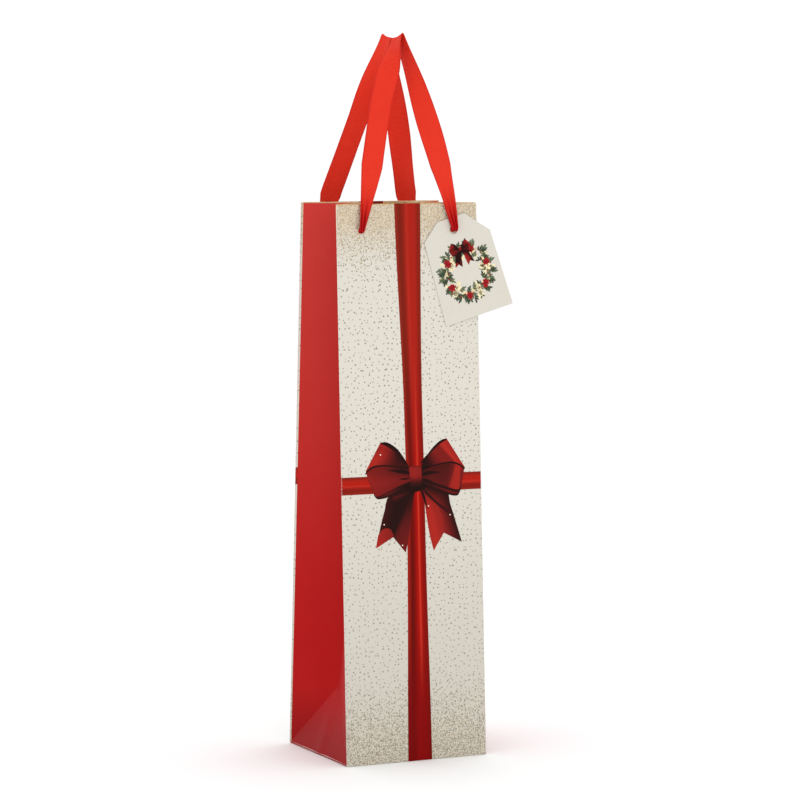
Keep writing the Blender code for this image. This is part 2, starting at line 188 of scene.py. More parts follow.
class Graph:
    """A material's node tree, with short calls for the nodes that the materials below share."""

    def __init__(self, name):
        self.material = bpy.data.materials.new(name)
        self.material.use_nodes = True
        self.tree = self.material.node_tree
        self.shader = self.tree.nodes["Principled BSDF"]

    def node(self, kind, inputs=None, **settings):
        made = self.tree.nodes.new(kind)
        for key, value in settings.items():
            setattr(made, key, value)
        for key, value in (inputs or {}).items():
            self.feed(made.inputs[key], value)
        return made

    def feed(self, socket, value):
        if isinstance(value, bpy.types.NodeSocket):
            self.tree.links.new(value, socket)
        else:
            socket.default_value = value

    def math(self, operation, *values):
        made = self.node("ShaderNodeMath", operation=operation)
        for socket, value in zip(made.inputs, values, strict=False):
            self.feed(socket, value)
        return made.outputs[0]

    def step(self, value, low, high):
        """0 at low and 1 at high, with a smooth change between; low may be the greater."""
        made = self.node("ShaderNodeMapRange", interpolation_type="SMOOTHSTEP")
        for key, given in (("Value", value), ("From Min", low), ("From Max", high)):
            self.feed(made.inputs[key], given)
        return made.outputs["Result"]

    def mix(self, share, a, b, blend="MIX"):
        made = self.node("ShaderNodeMix", data_type="RGBA", blend_type=blend)
        self.feed(made.inputs[0], share)
        self.feed(made.inputs[6], a)
        self.feed(made.inputs[7], b)
        return made.outputs[2]

    def ramp(self, value, stops):
        """A straight blend between stops of (place, screen colour)."""
        made = self.node("ShaderNodeValToRGB", {"Fac": value})
        band = made.color_ramp
        while len(band.elements) < len(stops):
            band.elements.new(0.5)
        for element, (place, colour) in zip(band.elements, stops, strict=True):
            element.position = place
            element.color = srgb(*colour)
        return made.outputs["Color"]

    def noise(self, vector, scale, detail=2.0, roughness=0.5):
        inputs = {"Vector": vector, "Scale": scale, "Detail": detail, "Roughness": roughness}
        return self.node("ShaderNodeTexNoise", inputs).outputs["Fac"]

    def place(self):
        """Where on the object, in metres."""
        return self.node("ShaderNodeTexCoord").outputs["Object"]

    def flat(self):
        """Where on the flat sheet, in metres: (vector, u, v)."""
        vector = self.node("ShaderNodeUVMap", uv_map="flat").outputs["UV"]
        parts = self.node("ShaderNodeSeparateXYZ", {"Vector": vector})
        return vector, parts.outputs["X"], parts.outputs["Y"]

    def bump(self, height, distance, strength=1.0):
        inputs = {"Height": height, "Distance": distance, "Strength": strength}
        return self.node("ShaderNodeBump", inputs).outputs["Normal"]

    def surface(self, **values):
        """Sets the shader's own inputs, named with _ for each space."""
        for key, value in values.items():
            self.feed(self.shader.inputs[key.replace("_", " ")], value)
        return self.material


def grey(value):
    return (value, value, value, 1.0)


def dots(graph, uv, cell, radius, shift, presence):
    """(mask, random colour) of round dots, one to a cell; presence is the share of cells with one."""
    moved = graph.node("ShaderNodeVectorMath", {0: uv, 1: (shift, shift * 1.7, 0)}, operation="ADD")
    inputs = {"Vector": moved.outputs[0], "Scale": 1 / cell, "Randomness": 0.82}
    cells = graph.node("ShaderNodeTexVoronoi", inputs, voronoi_dimensions="2D")
    pick = graph.node("ShaderNodeSeparateColor", {"Color": cells.outputs["Color"]})
    size = graph.math("MULTIPLY_ADD", pick.outputs[1], 0.5 * radius / cell, 0.7 * radius / cell)
    soft = graph.math("MULTIPLY", size, 0.72)
    disc = graph.step(cells.outputs["Distance"], size, soft)
    shown = graph.math("LESS_THAN", pick.outputs[0], presence)
    return graph.math("MULTIPLY", disc, shown), pick.outputs[2]


def streaked(graph, across, uv, streak_scale):
    """across, which runs from 0 to 1 over a printed ribbon, bent a little by streaks along it."""
    long_noise = graph.node("ShaderNodeMapping", {"Vector": uv, "Scale": streak_scale})
    wander = graph.noise(long_noise.outputs[0], 1.0, 3.0)
    return graph.math("MULTIPLY_ADD", wander, 0.10, graph.math("SUBTRACT", across, 0.05))


# Colours of the metallic dots: silvery in the open, golden towards the base and the top.
SILVER_STOPS = [
    (0.0, (134, 130, 120)), (0.3, (158, 151, 139)), (0.6, (142, 139, 131)),
    (0.8, (167, 157, 142)), (1.0, (186, 178, 160)),
]
LOW_GOLD_STOPS = [
    (0.0, (122, 116, 104)), (0.3, (158, 147, 127)), (0.6, (138, 134, 122)),
    (0.8, (178, 162, 134)), (1.0, (216, 204, 178)),
]
HIGH_GOLD_STOPS = [
    (0.0, (156, 144, 122)), (0.3, (190, 168, 134)), (0.6, (172, 160, 140)),
    (0.8, (206, 178, 138)), (1.0, (236, 216, 180)),
]

INK_DEPTH = (0.90, 0.62, 0.58, 1.0)  # what the printed ribbons' ink keeps of the colours below

# Colours across the printed ribbons, from their left or upper edge.
UPRIGHT_STOPS = [
    (0.00, (150, 42, 28)), (0.09, (152, 32, 18)), (0.24, (98, 10, 2)),
    (0.40, (126, 12, 5)), (0.56, (174, 20, 9)), (0.64, (204, 68, 46)),
    (0.71, (164, 22, 10)), (0.86, (134, 10, 3)), (1.00, (128, 32, 18)),
]
UPRIGHT_TOP_STOPS = [
    (0.00, (146, 54, 40)), (0.08, (140, 44, 30)), (0.18, (118, 36, 17)),
    (0.32, (140, 36, 22)), (0.46, (182, 50, 37)), (0.56, (170, 38, 24)),
    (0.74, (170, 40, 28)), (0.88, (138, 36, 20)), (1.00, (134, 50, 34)),
]
UPRIGHT_BASE_STOPS = [
    (0.00, (116, 20, 12)), (0.08, (122, 6, 6)), (0.26, (115, 3, 1)),
    (0.50, (137, 5, 4)), (0.78, (132, 2, 2)), (1.00, (113, 14, 6)),
]
CROSS_STOPS = [
    (0.00, (128, 52, 38)), (0.08, (138, 36, 24)), (0.24, (174, 38, 24)),
    (0.44, (178, 34, 20)), (0.54, (190, 52, 38)), (0.63, (156, 36, 26)),
    (0.74, (131, 31, 18)), (0.90, (136, 36, 24)), (1.00, (146, 54, 40)),
]


def printed_paper():
    """The bag's sheet: cream with metallic dots on the panels, red on the gussets, satin laminate."""
    graph = Graph("printed_paper")
    uv, u, v = graph.flat()
    top = HEIGHT
    around = graph.math("ABSOLUTE", u)

    # Dots thicken into glitter towards the base and the top edge, and cover the hem.
    near_top = graph.step(v, top - GLITTER_FROM_TOP, top - 0.006)
    near_base = graph.step(v, GLITTER_FROM_BASE, 0.004)
    ends = graph.math("MAXIMUM", near_top, near_base)
    ends_late = graph.math("POWER", ends, 2.2)
    haze = graph.noise(uv, 130.0, 3.0)
    loose = graph.math("MULTIPLY", ends_late, graph.math("MULTIPLY_ADD", haze, 1.3, 0.35))
    wide, pick_a = dots(graph, uv, 0.0034, 0.00056, 0.0, 0.97)
    middle, pick_b = dots(graph, uv, 0.0030, 0.00052, 0.31, graph.math("MULTIPLY", ends, 0.90))
    close, pick_c = dots(graph, uv, 0.0017, 0.00050, 0.73, loose)
    fine, pick_d = dots(graph, uv, 0.0008, 0.00034, 0.17, graph.math("MULTIPLY", loose, 0.8))
    fleck = graph.math("MAXIMUM", graph.math("MAXIMUM", wide, middle), graph.math("MAXIMUM", close, fine))
    pick = graph.mix(middle, pick_a, pick_b)
    pick = graph.mix(close, pick, pick_c)
    pick = graph.mix(fine, pick, pick_d)
    golden = graph.mix(near_top, graph.ramp(pick, LOW_GOLD_STOPS), graph.ramp(pick, HIGH_GOLD_STOPS))
    fleck_colour = graph.mix(ends, graph.ramp(pick, SILVER_STOPS), golden)
    grain = graph.noise(uv, 900.0, 3.0)
    # Painted shade: the cream darkens towards the base, where less light falls.
    cream_high = graph.mix(grain, srgb(208, 203, 192), srgb(217, 212, 201))
    shaded_cream_low = graph.mix(grain, srgb(195, 190, 179), srgb(204, 199, 188))
    cream = graph.mix(graph.step(v, 0.24, 0.02), cream_high, shaded_cream_low)
    gold_haze = graph.math("MULTIPLY", ends_late, 0.42)
    haze_colour = graph.mix(near_top, srgb(200, 192, 174), srgb(202, 180, 144))
    cream = graph.mix(gold_haze, cream, haze_colour)
    cream = graph.mix(graph.step(v, top - 0.0008, top), cream, srgb(206, 166, 108))
    cream = graph.mix(fleck, cream, fleck_colour)

    # The printed upright ribbon, wider at both ends, and the one across.
    rise = graph.math("MULTIPLY", graph.step(v, 0.15, top), -0.0020)
    centre = graph.math("ADD", rise, BOW_X)
    low_flare = graph.step(v, 0.16, -0.02)
    high_flare = graph.step(v, 0.22, top + 0.02)
    high_flare = graph.math("MULTIPLY", high_flare, HIGH_FLARE)
    flare = graph.math("MULTIPLY", graph.math("MAXIMUM", low_flare, high_flare), RIBBON_FLARE)
    half = graph.math("ADD", flare, RIBBON_HALF)
    off = graph.math("SUBTRACT", u, centre)
    share = graph.math("DIVIDE", off, half)
    across = streaked(graph, graph.math("MULTIPLY_ADD", share, 0.5, 0.5), uv, UPRIGHT_STREAKS)
    upright = graph.ramp(across, UPRIGHT_STOPS)
    upright = graph.mix(graph.step(v, 0.17, 0.29), upright, graph.ramp(across, UPRIGHT_TOP_STOPS))
    upright = graph.mix(graph.step(v, 0.10, 0.03), upright, graph.ramp(across, UPRIGHT_BASE_STOPS))
    on_upright = graph.step(graph.math("ABSOLUTE", share), 1.0, 0.97)

    drop = graph.math("MULTIPLY_ADD", u, -0.004, CROSS_HEIGHT)
    level = graph.math("DIVIDE", graph.math("SUBTRACT", drop, v), CROSS_HALF)
    down = streaked(graph, graph.math("MULTIPLY_ADD", level, 0.5, 0.5), uv, CROSS_STREAKS)
    cross = graph.ramp(down, CROSS_STOPS)
    on_cross = graph.step(graph.math("ABSOLUTE", level), 1.0, 0.96)

    ribboned = graph.math("MAXIMUM", on_upright, on_cross)
    colour = graph.mix(on_cross, cream, graph.mix(1.0, cross, INK_DEPTH, "MULTIPLY"))
    colour = graph.mix(on_upright, colour, graph.mix(1.0, upright, INK_DEPTH, "MULTIPLY"))

    # Past the corner's wrap the sheet is red, as far as the golden hem, with painted light and shade:
    # lighter at the top, where the light falls, and darker low down.
    mottle = graph.noise(uv, 34.0, 4.0, 0.6)
    shaded_red_low = graph.mix(mottle, srgb(166, 5, 7), srgb(174, 10, 12))
    lit_red_high = graph.mix(mottle, srgb(192, 54, 48), srgb(198, 60, 54))
    red = graph.mix(graph.step(v, 0.02, 0.38), shaded_red_low, lit_red_high)
    # Painted shade: the red darkens further over the lowest few centimetres, across the gusset's foot.
    red = graph.mix(graph.math("MULTIPLY", graph.step(v, 0.046, 0.002), 0.75), red, srgb(134, 3, 7))
    on_red = graph.step(around, HALF_WIDTH + WRAP - 0.00008, HALF_WIDTH + WRAP + 0.00008)
    on_red = graph.math("MULTIPLY", on_red, graph.step(v, top - 0.0004, top - 0.0007))
    colour = graph.mix(on_red, colour, red)

    # The print is scuffed to the paper's white along the corner creases.
    ragged = graph.noise(uv, 1400.0, 2.0)
    crease = graph.math("ABSOLUTE", graph.math("SUBTRACT", around, HALF_WIDTH))
    worn = graph.math("MULTIPLY", graph.step(crease, 0.00045, 0.00010), graph.step(ragged, 0.42, 0.62))
    colour = graph.mix(graph.math("MULTIPLY", worn, 0.55), colour, srgb(238, 226, 214))

    metal = graph.math("MULTIPLY", fleck, graph.math("SUBTRACT", 1.0, ribboned))
    metal = graph.math("MULTIPLY", metal, graph.math("SUBTRACT", 1.0, on_red))
    lumps = graph.noise(uv, 260.0, 3.0)
    height = graph.math("MULTIPLY_ADD", metal, 0.6, graph.math("MULTIPLY", lumps, 0.35))
    return graph.surface(
        Base_Color=colour,
        Metallic=graph.math("MULTIPLY", metal, 0.45),
        Roughness=graph.math("MULTIPLY_ADD", metal, -0.08, 0.40),
        Specular_IOR_Level=0.06,
        Normal=graph.bump(height, 0.00005, 0.5),
    )


def bare_paper():
    """The sheet's unprinted inside and its cut edges."""
    graph = Graph("bare_paper")
    place = graph.place()
    fibres = graph.noise(place, 700.0, 5.0, 0.7)
    cloud = graph.noise(place, 40.0, 3.0)
    colour = graph.mix(fibres, srgb(226, 222, 214), srgb(244, 241, 235))
    colour = graph.mix(graph.math("MULTIPLY", cloud, 0.25), colour, srgb(214, 208, 198))
    return graph.surface(Base_Color=colour, Roughness=0.85, Normal=graph.bump(fibres, 0.00005, 0.5))


def grey_board():
    """Recycled board: grey with darker and lighter fibres."""
    graph = Graph("grey_board")
    place = graph.place()
    fibres = graph.noise(place, 520.0, 6.0, 0.75)
    specks = graph.noise(place, 1500.0, 2.0)
    colour = graph.ramp(
        fibres,
        [(0.25, (134, 128, 118)), (0.5, (168, 162, 150)), (0.8, (196, 190, 178))],
    )
    colour = graph.mix(graph.step(specks, 0.66, 0.72), colour, srgb(92, 84, 74))
    return graph.surface(Base_Color=colour, Roughness=0.9, Normal=graph.bump(fibres, 0.00012, 0.6))


def woven_ribbon():
    """Ribbed woven ribbon: fine ribs across it, with a tight edge down each side, and painted shade where
    it is gathered low at the holes.
    """
    graph = Graph("woven_ribbon")
    uv, u, v = graph.flat()
    rib_pitch = 0.00085
    yarn_pitch = 0.00042
    rib = graph.math("SINE", graph.math("MULTIPLY", v, 2 * math.pi / rib_pitch))
    yarn = graph.math("SINE", graph.math("MULTIPLY", u, 2 * math.pi / yarn_pitch))
    weave = graph.math("MULTIPLY_ADD", yarn, 0.22, rib)
    level = graph.math("MULTIPLY_ADD", weave, 0.4, 0.5)
    cloud = graph.noise(uv, 160.0, 3.0)
    # Painted shade: the weave is darker in the grooves between its ribs.
    colour = graph.ramp(
        level,
        [(0.0, (196, 24, 12)), (0.35, (222, 46, 24)), (1.0, (238, 66, 40))],
    )
    colour = graph.mix(graph.math("MULTIPLY", cloud, 0.35), colour, srgb(206, 30, 22))
    edge = graph.step(graph.math("ABSOLUTE", u), RIBBON_WIDTH / 2 - 0.0009, RIBBON_WIDTH / 2 - 0.0003)
    colour = graph.mix(graph.math("MULTIPLY", edge, 0.45), colour, srgb(176, 18, 16))
    # Painted shade: the ribbon turns deep red low down, where it is gathered at the holes.
    gathered = graph.node("ShaderNodeAttribute", attribute_name="gathered").outputs["Fac"]
    colour = graph.mix(graph.step(gathered, 0.25, 1.0), colour, srgb(176, 6, 10))
    return graph.surface(
        Base_Color=colour,
        Roughness=0.70,
        Specular_IOR_Level=0.15,
        Normal=graph.bump(level, 0.00012, 0.8),
    )


def tag_card():
    """Smooth white card with a faint speckle of gold low down."""
    graph = Graph("tag_card")
    uv, _, v = graph.flat()
    grain = graph.noise(uv, 700.0, 3.0)
    colour = graph.mix(grain, srgb(206, 201, 190), srgb(212, 207, 196))
    band = graph.step(graph.math("ABSOLUTE", graph.math("ADD", v, 0.046)), 0.011, 0.002)
    specks, _ = dots(graph, uv, 0.0011, 0.00020, 0.4, graph.math("MULTIPLY", band, 0.6))
    colour = graph.mix(graph.math("MULTIPLY", specks, 0.6), colour, srgb(204, 184, 140))
    return graph.surface(
        Base_Color=colour,
        Roughness=0.46,
        Specular_IOR_Level=0.25,
        Normal=graph.bump(grain, 0.00002, 0.4),
    )


def print_ink():
    """Ink whose colour is drawn on the piece itself, with the paper's grain in it."""
    graph = Graph("print_ink")
    ink = graph.node("ShaderNodeVertexColor", layer_name="ink").outputs["Color"]
    grain = graph.noise(graph.place(), 1100.0, 3.0)
    colour = graph.mix(0.10, ink, graph.mix(grain, grey(0.3), grey(0.7)), "SOFT_LIGHT")
    return graph.surface(
        Base_Color=colour,
        Roughness=0.42,
        Specular_IOR_Level=0.05,
        Normal=graph.bump(grain, 0.00002, 0.4),
    )


def studio_floor():
    graph = Graph("studio_floor")
    cloud = graph.noise(graph.place(), 1.2, 2.0)
    colour = graph.mix(cloud, grey(0.95), grey(0.96))
    return graph.surface(Base_Color=colour, Roughness=0.9)


# ---------------------------------------------------------------- mesh helpers


def link(name, mesh, *materials):
    obj = bpy.data.objects.new(name, mesh)
    bpy.context.scene.collection.objects.link(obj)
    for given in materials:
        mesh.materials.append(given)
    return obj


def uv_mesh(name, vertices, faces, flat):
    """A mesh with one point of the flat sheet to each vertex."""
    mesh = bpy.data.meshes.new(name)
    mesh.from_pydata([tuple(v) for v in vertices], [], faces)
    layer = mesh.uv_layers.new(name="flat")
    for loop in mesh.loops:
        layer.data[loop.index].uv = flat[loop.vertex_index]
    return mesh


def grid_mesh(name, points, flat, outward):
    """A sheet of quads through rows of points. flat holds each point's UV; outward is a direction
    that the printed side faces at the first corner."""
    rows, columns = len(points), len(points[0])
    a, b, c = points[0][0], points[0][1], points[1][0]
    turned = (b - a).cross(c - a).dot(outward) < 0
    faces = []
    for i in range(rows - 1):
        for k in range(columns - 1):
            low = i * columns + k
            quad = (low, low + 1, low + columns + 1, low + columns)
            faces.append(quad[::-1] if turned else quad)
    return uv_mesh(name, [p for row in points for p in row], faces, [pair for row in flat for pair in row])


def baked(obj, sharp=40):
    """The object with its modifiers applied, shaded smooth up to the sharp angle."""
    bpy.context.view_layer.update()
    done = bpy.data.meshes.new_from_object(obj.evaluated_get(bpy.context.evaluated_depsgraph_get()))
    obj.modifiers.clear()
    obj.data = done
    done.shade_smooth()
    done.set_sharp_from_angle(angle=math.radians(sharp))
    return obj


def thicken(obj, thickness, offset=-1.0, second=1):
    """Gives a sheet its thickness. Its far side takes the second material."""
    solid = obj.modifiers.new("thickness", "SOLIDIFY")
    solid.thickness = thickness
    solid.offset = offset
    solid.material_offset = second


def cut_round(obj, centre, along, radius):
    """Cuts a round hole of this radius through the object."""
    mesh = bpy.data.meshes.new("cutter")
    shape = bmesh.new()
    bmesh.ops.create_cone(
        shape, cap_ends=True, segments=40, radius1=radius, radius2=radius, depth=0.02
    )
    shape.to_mesh(mesh)
    shape.free()
    cutter = link("cutter", mesh)
    cutter.matrix_world = Matrix.Translation(centre) @ along.to_track_quat("Z", "Y").to_matrix().to_4x4()
    modifier = obj.modifiers.new("hole", "BOOLEAN")
    modifier.operation = "DIFFERENCE"
    modifier.solver = "EXACT"
    modifier.object = cutter
    baked(obj)
    bpy.data.objects.remove(cutter)
    bpy.data.meshes.remove(mesh)


def spread(low, high, count):
    return [low + (high - low) * i / (count - 1) for i in range(count)]


# ---------------------------------------------------------------- the paper bag


class Panel:
    """The frame of the front or the back panel: across it, up its slope, and into the bag."""

    def __init__(self, side):
        joint = JOINTS["mouth_open" if side == "front" else "back_open"]
        up = Vector(JOINTS[f"left_{side}_unfold"]["axis"])
        self.side = side
        self.sign = -1 if side == "front" else 1
        self.hinge = Vector(joint["pos_m"])
        self.up = up if up.z > 0 else -up
        self.inward = self.up.cross(X_AXIS) * -self.sign
        self.top = HEIGHT / self.up.z
        self.hem = self.top - (HEIGHT - HEM_BOTTOM)
        self.hole = (HANDLE_AXIS[side] - self.hinge).dot(self.up) + HOLE_RISE

    def at(self, x, up, depth=0.0):
        """A point of the panel, depth behind its outer face. The panel bows out in its middle."""
        share = min(max(up / self.top, 0), 1)
        bow = BULGE * math.cos(math.pi * x / (2 * HALF_WIDTH)) * math.sin(math.pi * share) ** 0.7
        return self.hinge + X_AXIS * x + self.up * up + self.inward * (depth - bow)

    def y(self, z):
        return self.hinge.y + self.up.y / self.up.z * z


def paper_sheet(name, points, flat, outward, finishes, sharp=40):
    """A sheet of the bag's paper through rows of points, printed on its outward side."""
    mesh = grid_mesh(name, points, flat, outward)
    sheet = link(name, mesh, finishes["print"], finishes["inside"])
    thicken(sheet, PAPER)
    return baked(sheet, sharp)


def fold_profile(top, hem, radius, rows):
    """(up, depth, length) along a sheet that rises to its top, folds over and runs down to its hem."""
    turn = 7
    profile = [(up, 0.0, up) for up in spread(0.0, top - radius, rows)]
    for i in range(1, turn + 1):
        angle = math.pi * i / turn
        up = top - radius + radius * math.sin(angle)
        profile.append((up, radius * (1 - math.cos(angle)), top - radius + radius * angle))
    length = profile[-1][2]
    for up in spread(top - radius, hem, 9)[1:]:
        profile.append((up, 2 * radius, length + top - radius - up))
    return profile


def make_panel_sheet(panel, finishes):
    """The panel and its hem as one folded sheet, its side edges curling into the gussets."""
    curl = [math.radians(a) for a in (64, 48, 32, 16)]
    edge = [(HALF_WIDTH - EDGE_ROUND * (1 - math.sin(a)), EDGE_ROUND * (1 - math.cos(a))) for a in curl]
    inner = spread(-(HALF_WIDTH - EDGE_ROUND), HALF_WIDTH - EDGE_ROUND, 33)
    across = [(-x, d) for x, d in edge] + [(x, 0.0) for x in inner] + [(x, d) for x, d in edge[::-1]]
    points, flat = [], []
    for up, depth, length in fold_profile(panel.top, panel.hem, FOLD_RADIUS, 61):
        folded = min(depth / (2 * FOLD_RADIUS), 1.0)
        shrink = 1 - folded * HEM_SIDE / HALF_WIDTH
        row, row_flat = [], []
        for x, curl_depth in across:
            sunk = depth + curl_depth * (1 - folded)
            row.append(panel.at(x * shrink, up, sunk))
            row_flat.append((-panel.sign * x, length))
        points.append(row)
        flat.append(row_flat)
    sheet = paper_sheet(panel.side + "_sheet", points, flat, -panel.inward, finishes)
    for x in (-HOLE_X, HOLE_X):
        cut_round(sheet, panel.at(x, panel.hole), panel.inward, HOLE_RADIUS)
    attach(sheet, panel.side)
    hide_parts(panel.side + "_panel", panel.side + "_hem")


def make_top_board(panel, finishes):
    """The strip of board that the hem is folded over."""
    across = spread(-(HALF_WIDTH - BOARD_SIDE), HALF_WIDTH - BOARD_SIDE, 21)
    rows = spread(panel.hem + BOARD_END, panel.top - BOARD_END, 6)
    points = [[panel.at(x, up, PAPER + GLUE) for x in across] for up in rows]
    flat = [[(x, up) for x in across] for up in rows]
    mesh = grid_mesh(panel.side + "_board", points, flat, -panel.inward)
    board = link(panel.side + "_board", mesh, finishes["board"])
    thicken(board, BOARD, second=0)
    baked(board)
    for x in (-HOLE_X, HOLE_X):
        cut_round(board, panel.at(x, panel.hole), panel.inward, HOLE_RADIUS)
    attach(board, panel.side)
    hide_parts(panel.side + "_top_board")


PANELS = {side: Panel(side) for side in ("front", "back")}
LEAN = HALF_DEPTH * 2 - (PANELS["back"].y(HEIGHT) - PANELS["front"].y(HEIGHT))
TOP_MIDDLE = (PANELS["back"].y(HEIGHT) + PANELS["front"].y(HEIGHT)) / 2
PEAK_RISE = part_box("left_base_triangle")[1].z + 0.0007


def crease_point(z):
    """The left gusset's centre crease at height z: both leaves are as wide as half the depth."""
    apart = 2 * HALF_DEPTH - LEAN * z / HEIGHT
    inset = math.sqrt(max(HALF_DEPTH**2 - (apart / 2) ** 2, 0))
    return Vector((-HALF_WIDTH + inset, TOP_MIDDLE * z / HEIGHT, z))


def make_leaf(end, panel, finishes):
    """One leaf of a side gusset, from the panel's corner to the centre crease, with its hem."""
    mirror = 1 if end == "left" else -1
    foot = Vector((-HALF_WIDTH, panel.sign * HALF_DEPTH, 0))
    peak = crease_point(PEAK_RISE)
    columns = 17
    inward = Vector((0.6, panel.sign * 0.8, 0))
    stations = spread(LEAF_FOOT, PEAK_RISE, 12) + spread(PEAK_RISE, HEIGHT - LEAF_FOLD_RADIUS, 44)[1:]
    base = []
    for z in stations:
        corner = Vector((-HALF_WIDTH, panel.y(z), z))
        far = foot.lerp(peak, z / PEAK_RISE) if z < PEAK_RISE else crease_point(z)
        base.append((corner, far, z))

    def leaf_row(corner, far, lift, depth, length):
        # The turned-in part is mitred back from the corner, to clear the panel's own hem.
        way = far - corner
        mitre = LEAF_MITRE * min(1, depth / (2 * LEAF_FOLD_RADIUS)) / way.length
        normal = way.cross(Vector((0, 0, 1))).normalized()
        if normal.dot(inward) < 0:
            normal = -normal
        row, row_flat = [], []
        for k in range(columns):
            share = mitre + (1 - mitre) * k / (columns - 1)
            wave = LEAF_WAVE * math.sin(math.pi * share) * math.sin(math.pi * min(corner.z / HEIGHT, 1))
            point = corner + way * share + normal * (depth - wave) + Vector((0, 0, lift))
            row.append(Vector((mirror * point.x, point.y, point.z)))
            row_flat.append((panel.sign * mirror * (HALF_WIDTH + way.length * share), length))
        return row, row_flat

    rows = [leaf_row(corner, far, 0, 0, z) for corner, far, z in base]
    corner, far, top = base[-1]
    for i in range(1, 6):
        angle = math.pi * i / 5
        lift = LEAF_FOLD_RADIUS * math.sin(angle)
        depth = LEAF_FOLD_RADIUS * (1 - math.cos(angle))
        rows.append(leaf_row(corner, far, lift, depth, top + LEAF_FOLD_RADIUS * angle))
    for z in spread(HEIGHT - LEAF_FOLD_RADIUS, HEM_BOTTOM, 8)[1:]:
        corner = Vector((-HALF_WIDTH, panel.y(z), z))
        rows.append(leaf_row(corner, crease_point(z), 0, 2 * LEAF_FOLD_RADIUS, 2 * HEIGHT - z))
    outward = Vector((-mirror * inward.x, -inward.y, 0))
    points, flat = [r[0] for r in rows], [r[1] for r in rows]
    leaf = paper_sheet(f"{end}_{panel.side}_leaf_sheet", points, flat, outward, finishes)
    # The leaf turns more the higher it is, because the mouth is pinched and the base is not.
    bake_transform(leaf)
    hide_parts(f"{end}_{panel.side}_gusset", f"{end}_{panel.side}_gusset_hem")


def make_foot_triangle(end, finishes):
    """The gusset's foot: a triangle with a faint crease down its middle."""
    mirror = 1 if end == "left" else -1
    peak = crease_point(PEAK_RISE)
    lean = Vector((peak.x + HALF_WIDTH, 0, PEAK_RISE))
    out = Vector((-lean.z, 0, lean.x)).normalized()
    points, flat = [], []
    for share in spread(*FOOT_SHARES, 22):
        row, row_flat = [], []
        for k in spread(-1.0, 1.0, 25):
            y = k * HALF_DEPTH * (1 - share)
            ridge = FOOT_RIDGE * max(0, 1 - abs(y) / 0.010) * (1 - share)
            hollow = FOOT_HOLLOW * (1 - k * k) * (1 - share)
            point = Vector((-HALF_WIDTH, y + peak.y * share, 0)) + lean * share + out * (ridge - hollow)
            row.append(Vector((mirror * point.x, point.y, point.z)))
            row_flat.append((HALF_WIDTH + HALF_DEPTH - abs(y), share * lean.length))
        points.append(row)
        flat.append(row_flat)
    outward = Vector((-mirror, 0, 0))
    foot = paper_sheet(end + "_foot_sheet", points, flat, outward, finishes, 30)
    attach(foot, end + "_base_fold")
    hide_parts(end + "_base_triangle")


def flat_sheet(name, x, y, z, cut, finishes):
    """A level sheet whose underside is its outer face. cut takes the corners off at y[0]."""
    points, flat = [], []
    for b in spread(y[0], y[1], 7):
        inset = max(0.0, cut - abs(b - y[0]))
        row = [Vector((a, b, z)) for a in spread(x[0] + inset, x[1] - inset, 9)]
        points.append(row)
        flat.append([(HALF_WIDTH + 0.01 + abs(p.x), abs(b)) for p in row])
    return paper_sheet(name, points, flat, Vector((0, 0, -1)), finishes)


def make_base(finishes):
    """The block bottom: two big flaps glued over two side tucks, and the loose board inside."""
    edge_x = HALF_WIDTH - 0.0003
    edge_y = HALF_DEPTH - 0.0002
    back_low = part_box("back_bottom_flap")[0].y
    front_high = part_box("front_bottom_flap")[1].y
    step = PAPER + 0.00008
    flaps = [
        ("back_bottom_flap", (-edge_x, edge_x), (back_low, edge_y), 0.0, BLOCK_CUT),
        ("front_bottom_flap", (-edge_x, edge_x), (front_high, -edge_y), step, BLOCK_CUT),
        ("left_bottom_tuck", (-edge_x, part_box("left_bottom_tuck")[1].x), (-edge_y, edge_y), 2 * step, 0),
        ("right_bottom_tuck", (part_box("right_bottom_tuck")[0].x, edge_x), (-edge_y, edge_y), 2 * step, 0),
    ]
    for node, x, y, z, cut in flaps:
        sheet = flat_sheet(node + "_sheet", x, y, z, cut, finishes)
        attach(sheet, "base")
        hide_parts(node)
    low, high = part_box("base_board")
    mesh = bpy.data.meshes.new("base_card")
    shape = bmesh.new()
    bmesh.ops.create_cube(shape, size=1.0)
    bmesh.ops.scale(shape, vec=high - low, verts=shape.verts)
    bmesh.ops.translate(shape, vec=(high + low) / 2, verts=shape.verts)
    upright = [e for e in shape.edges if abs(e.verts[0].co.z - e.verts[1].co.z) > 1e-4]
    bmesh.ops.bevel(shape, geom=upright, offset=0.003, segments=6, affect="EDGES")
    rims = [e for e in shape.edges if e.calc_face_angle(0) > 1.0]
    bmesh.ops.bevel(shape, geom=rims, offset=0.00015, segments=2, affect="EDGES")
    shape.to_mesh(mesh)
    shape.free()
    card = link("base_card", mesh, finishes["board"])
    mesh.shade_smooth()
    mesh.set_sharp_from_angle(angle=math.radians(40))
    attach(card, "base")
    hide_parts("base_board")


def make_seam(panel, finishes):
    """The glue flap down the inside of the back panel, its bare side showing."""
    node = "side_seam_flap"
    low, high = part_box(node)
    rows = spread(0.003, panel.hem - 0.0008, 30)
    across = spread(low.x, high.x, 4)
    points = [[panel.at(x, up, PAPER + 0.00006) for x in across] for up in rows]
    flat = [[(HALF_WIDTH + 0.02, up) for x in across] for up in rows]
    seam = paper_sheet("seam_sheet", points, flat, -panel.inward, finishes)
    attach(seam, panel.side)
    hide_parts(node)


# ---------------------------------------------------------------- ribbon handles


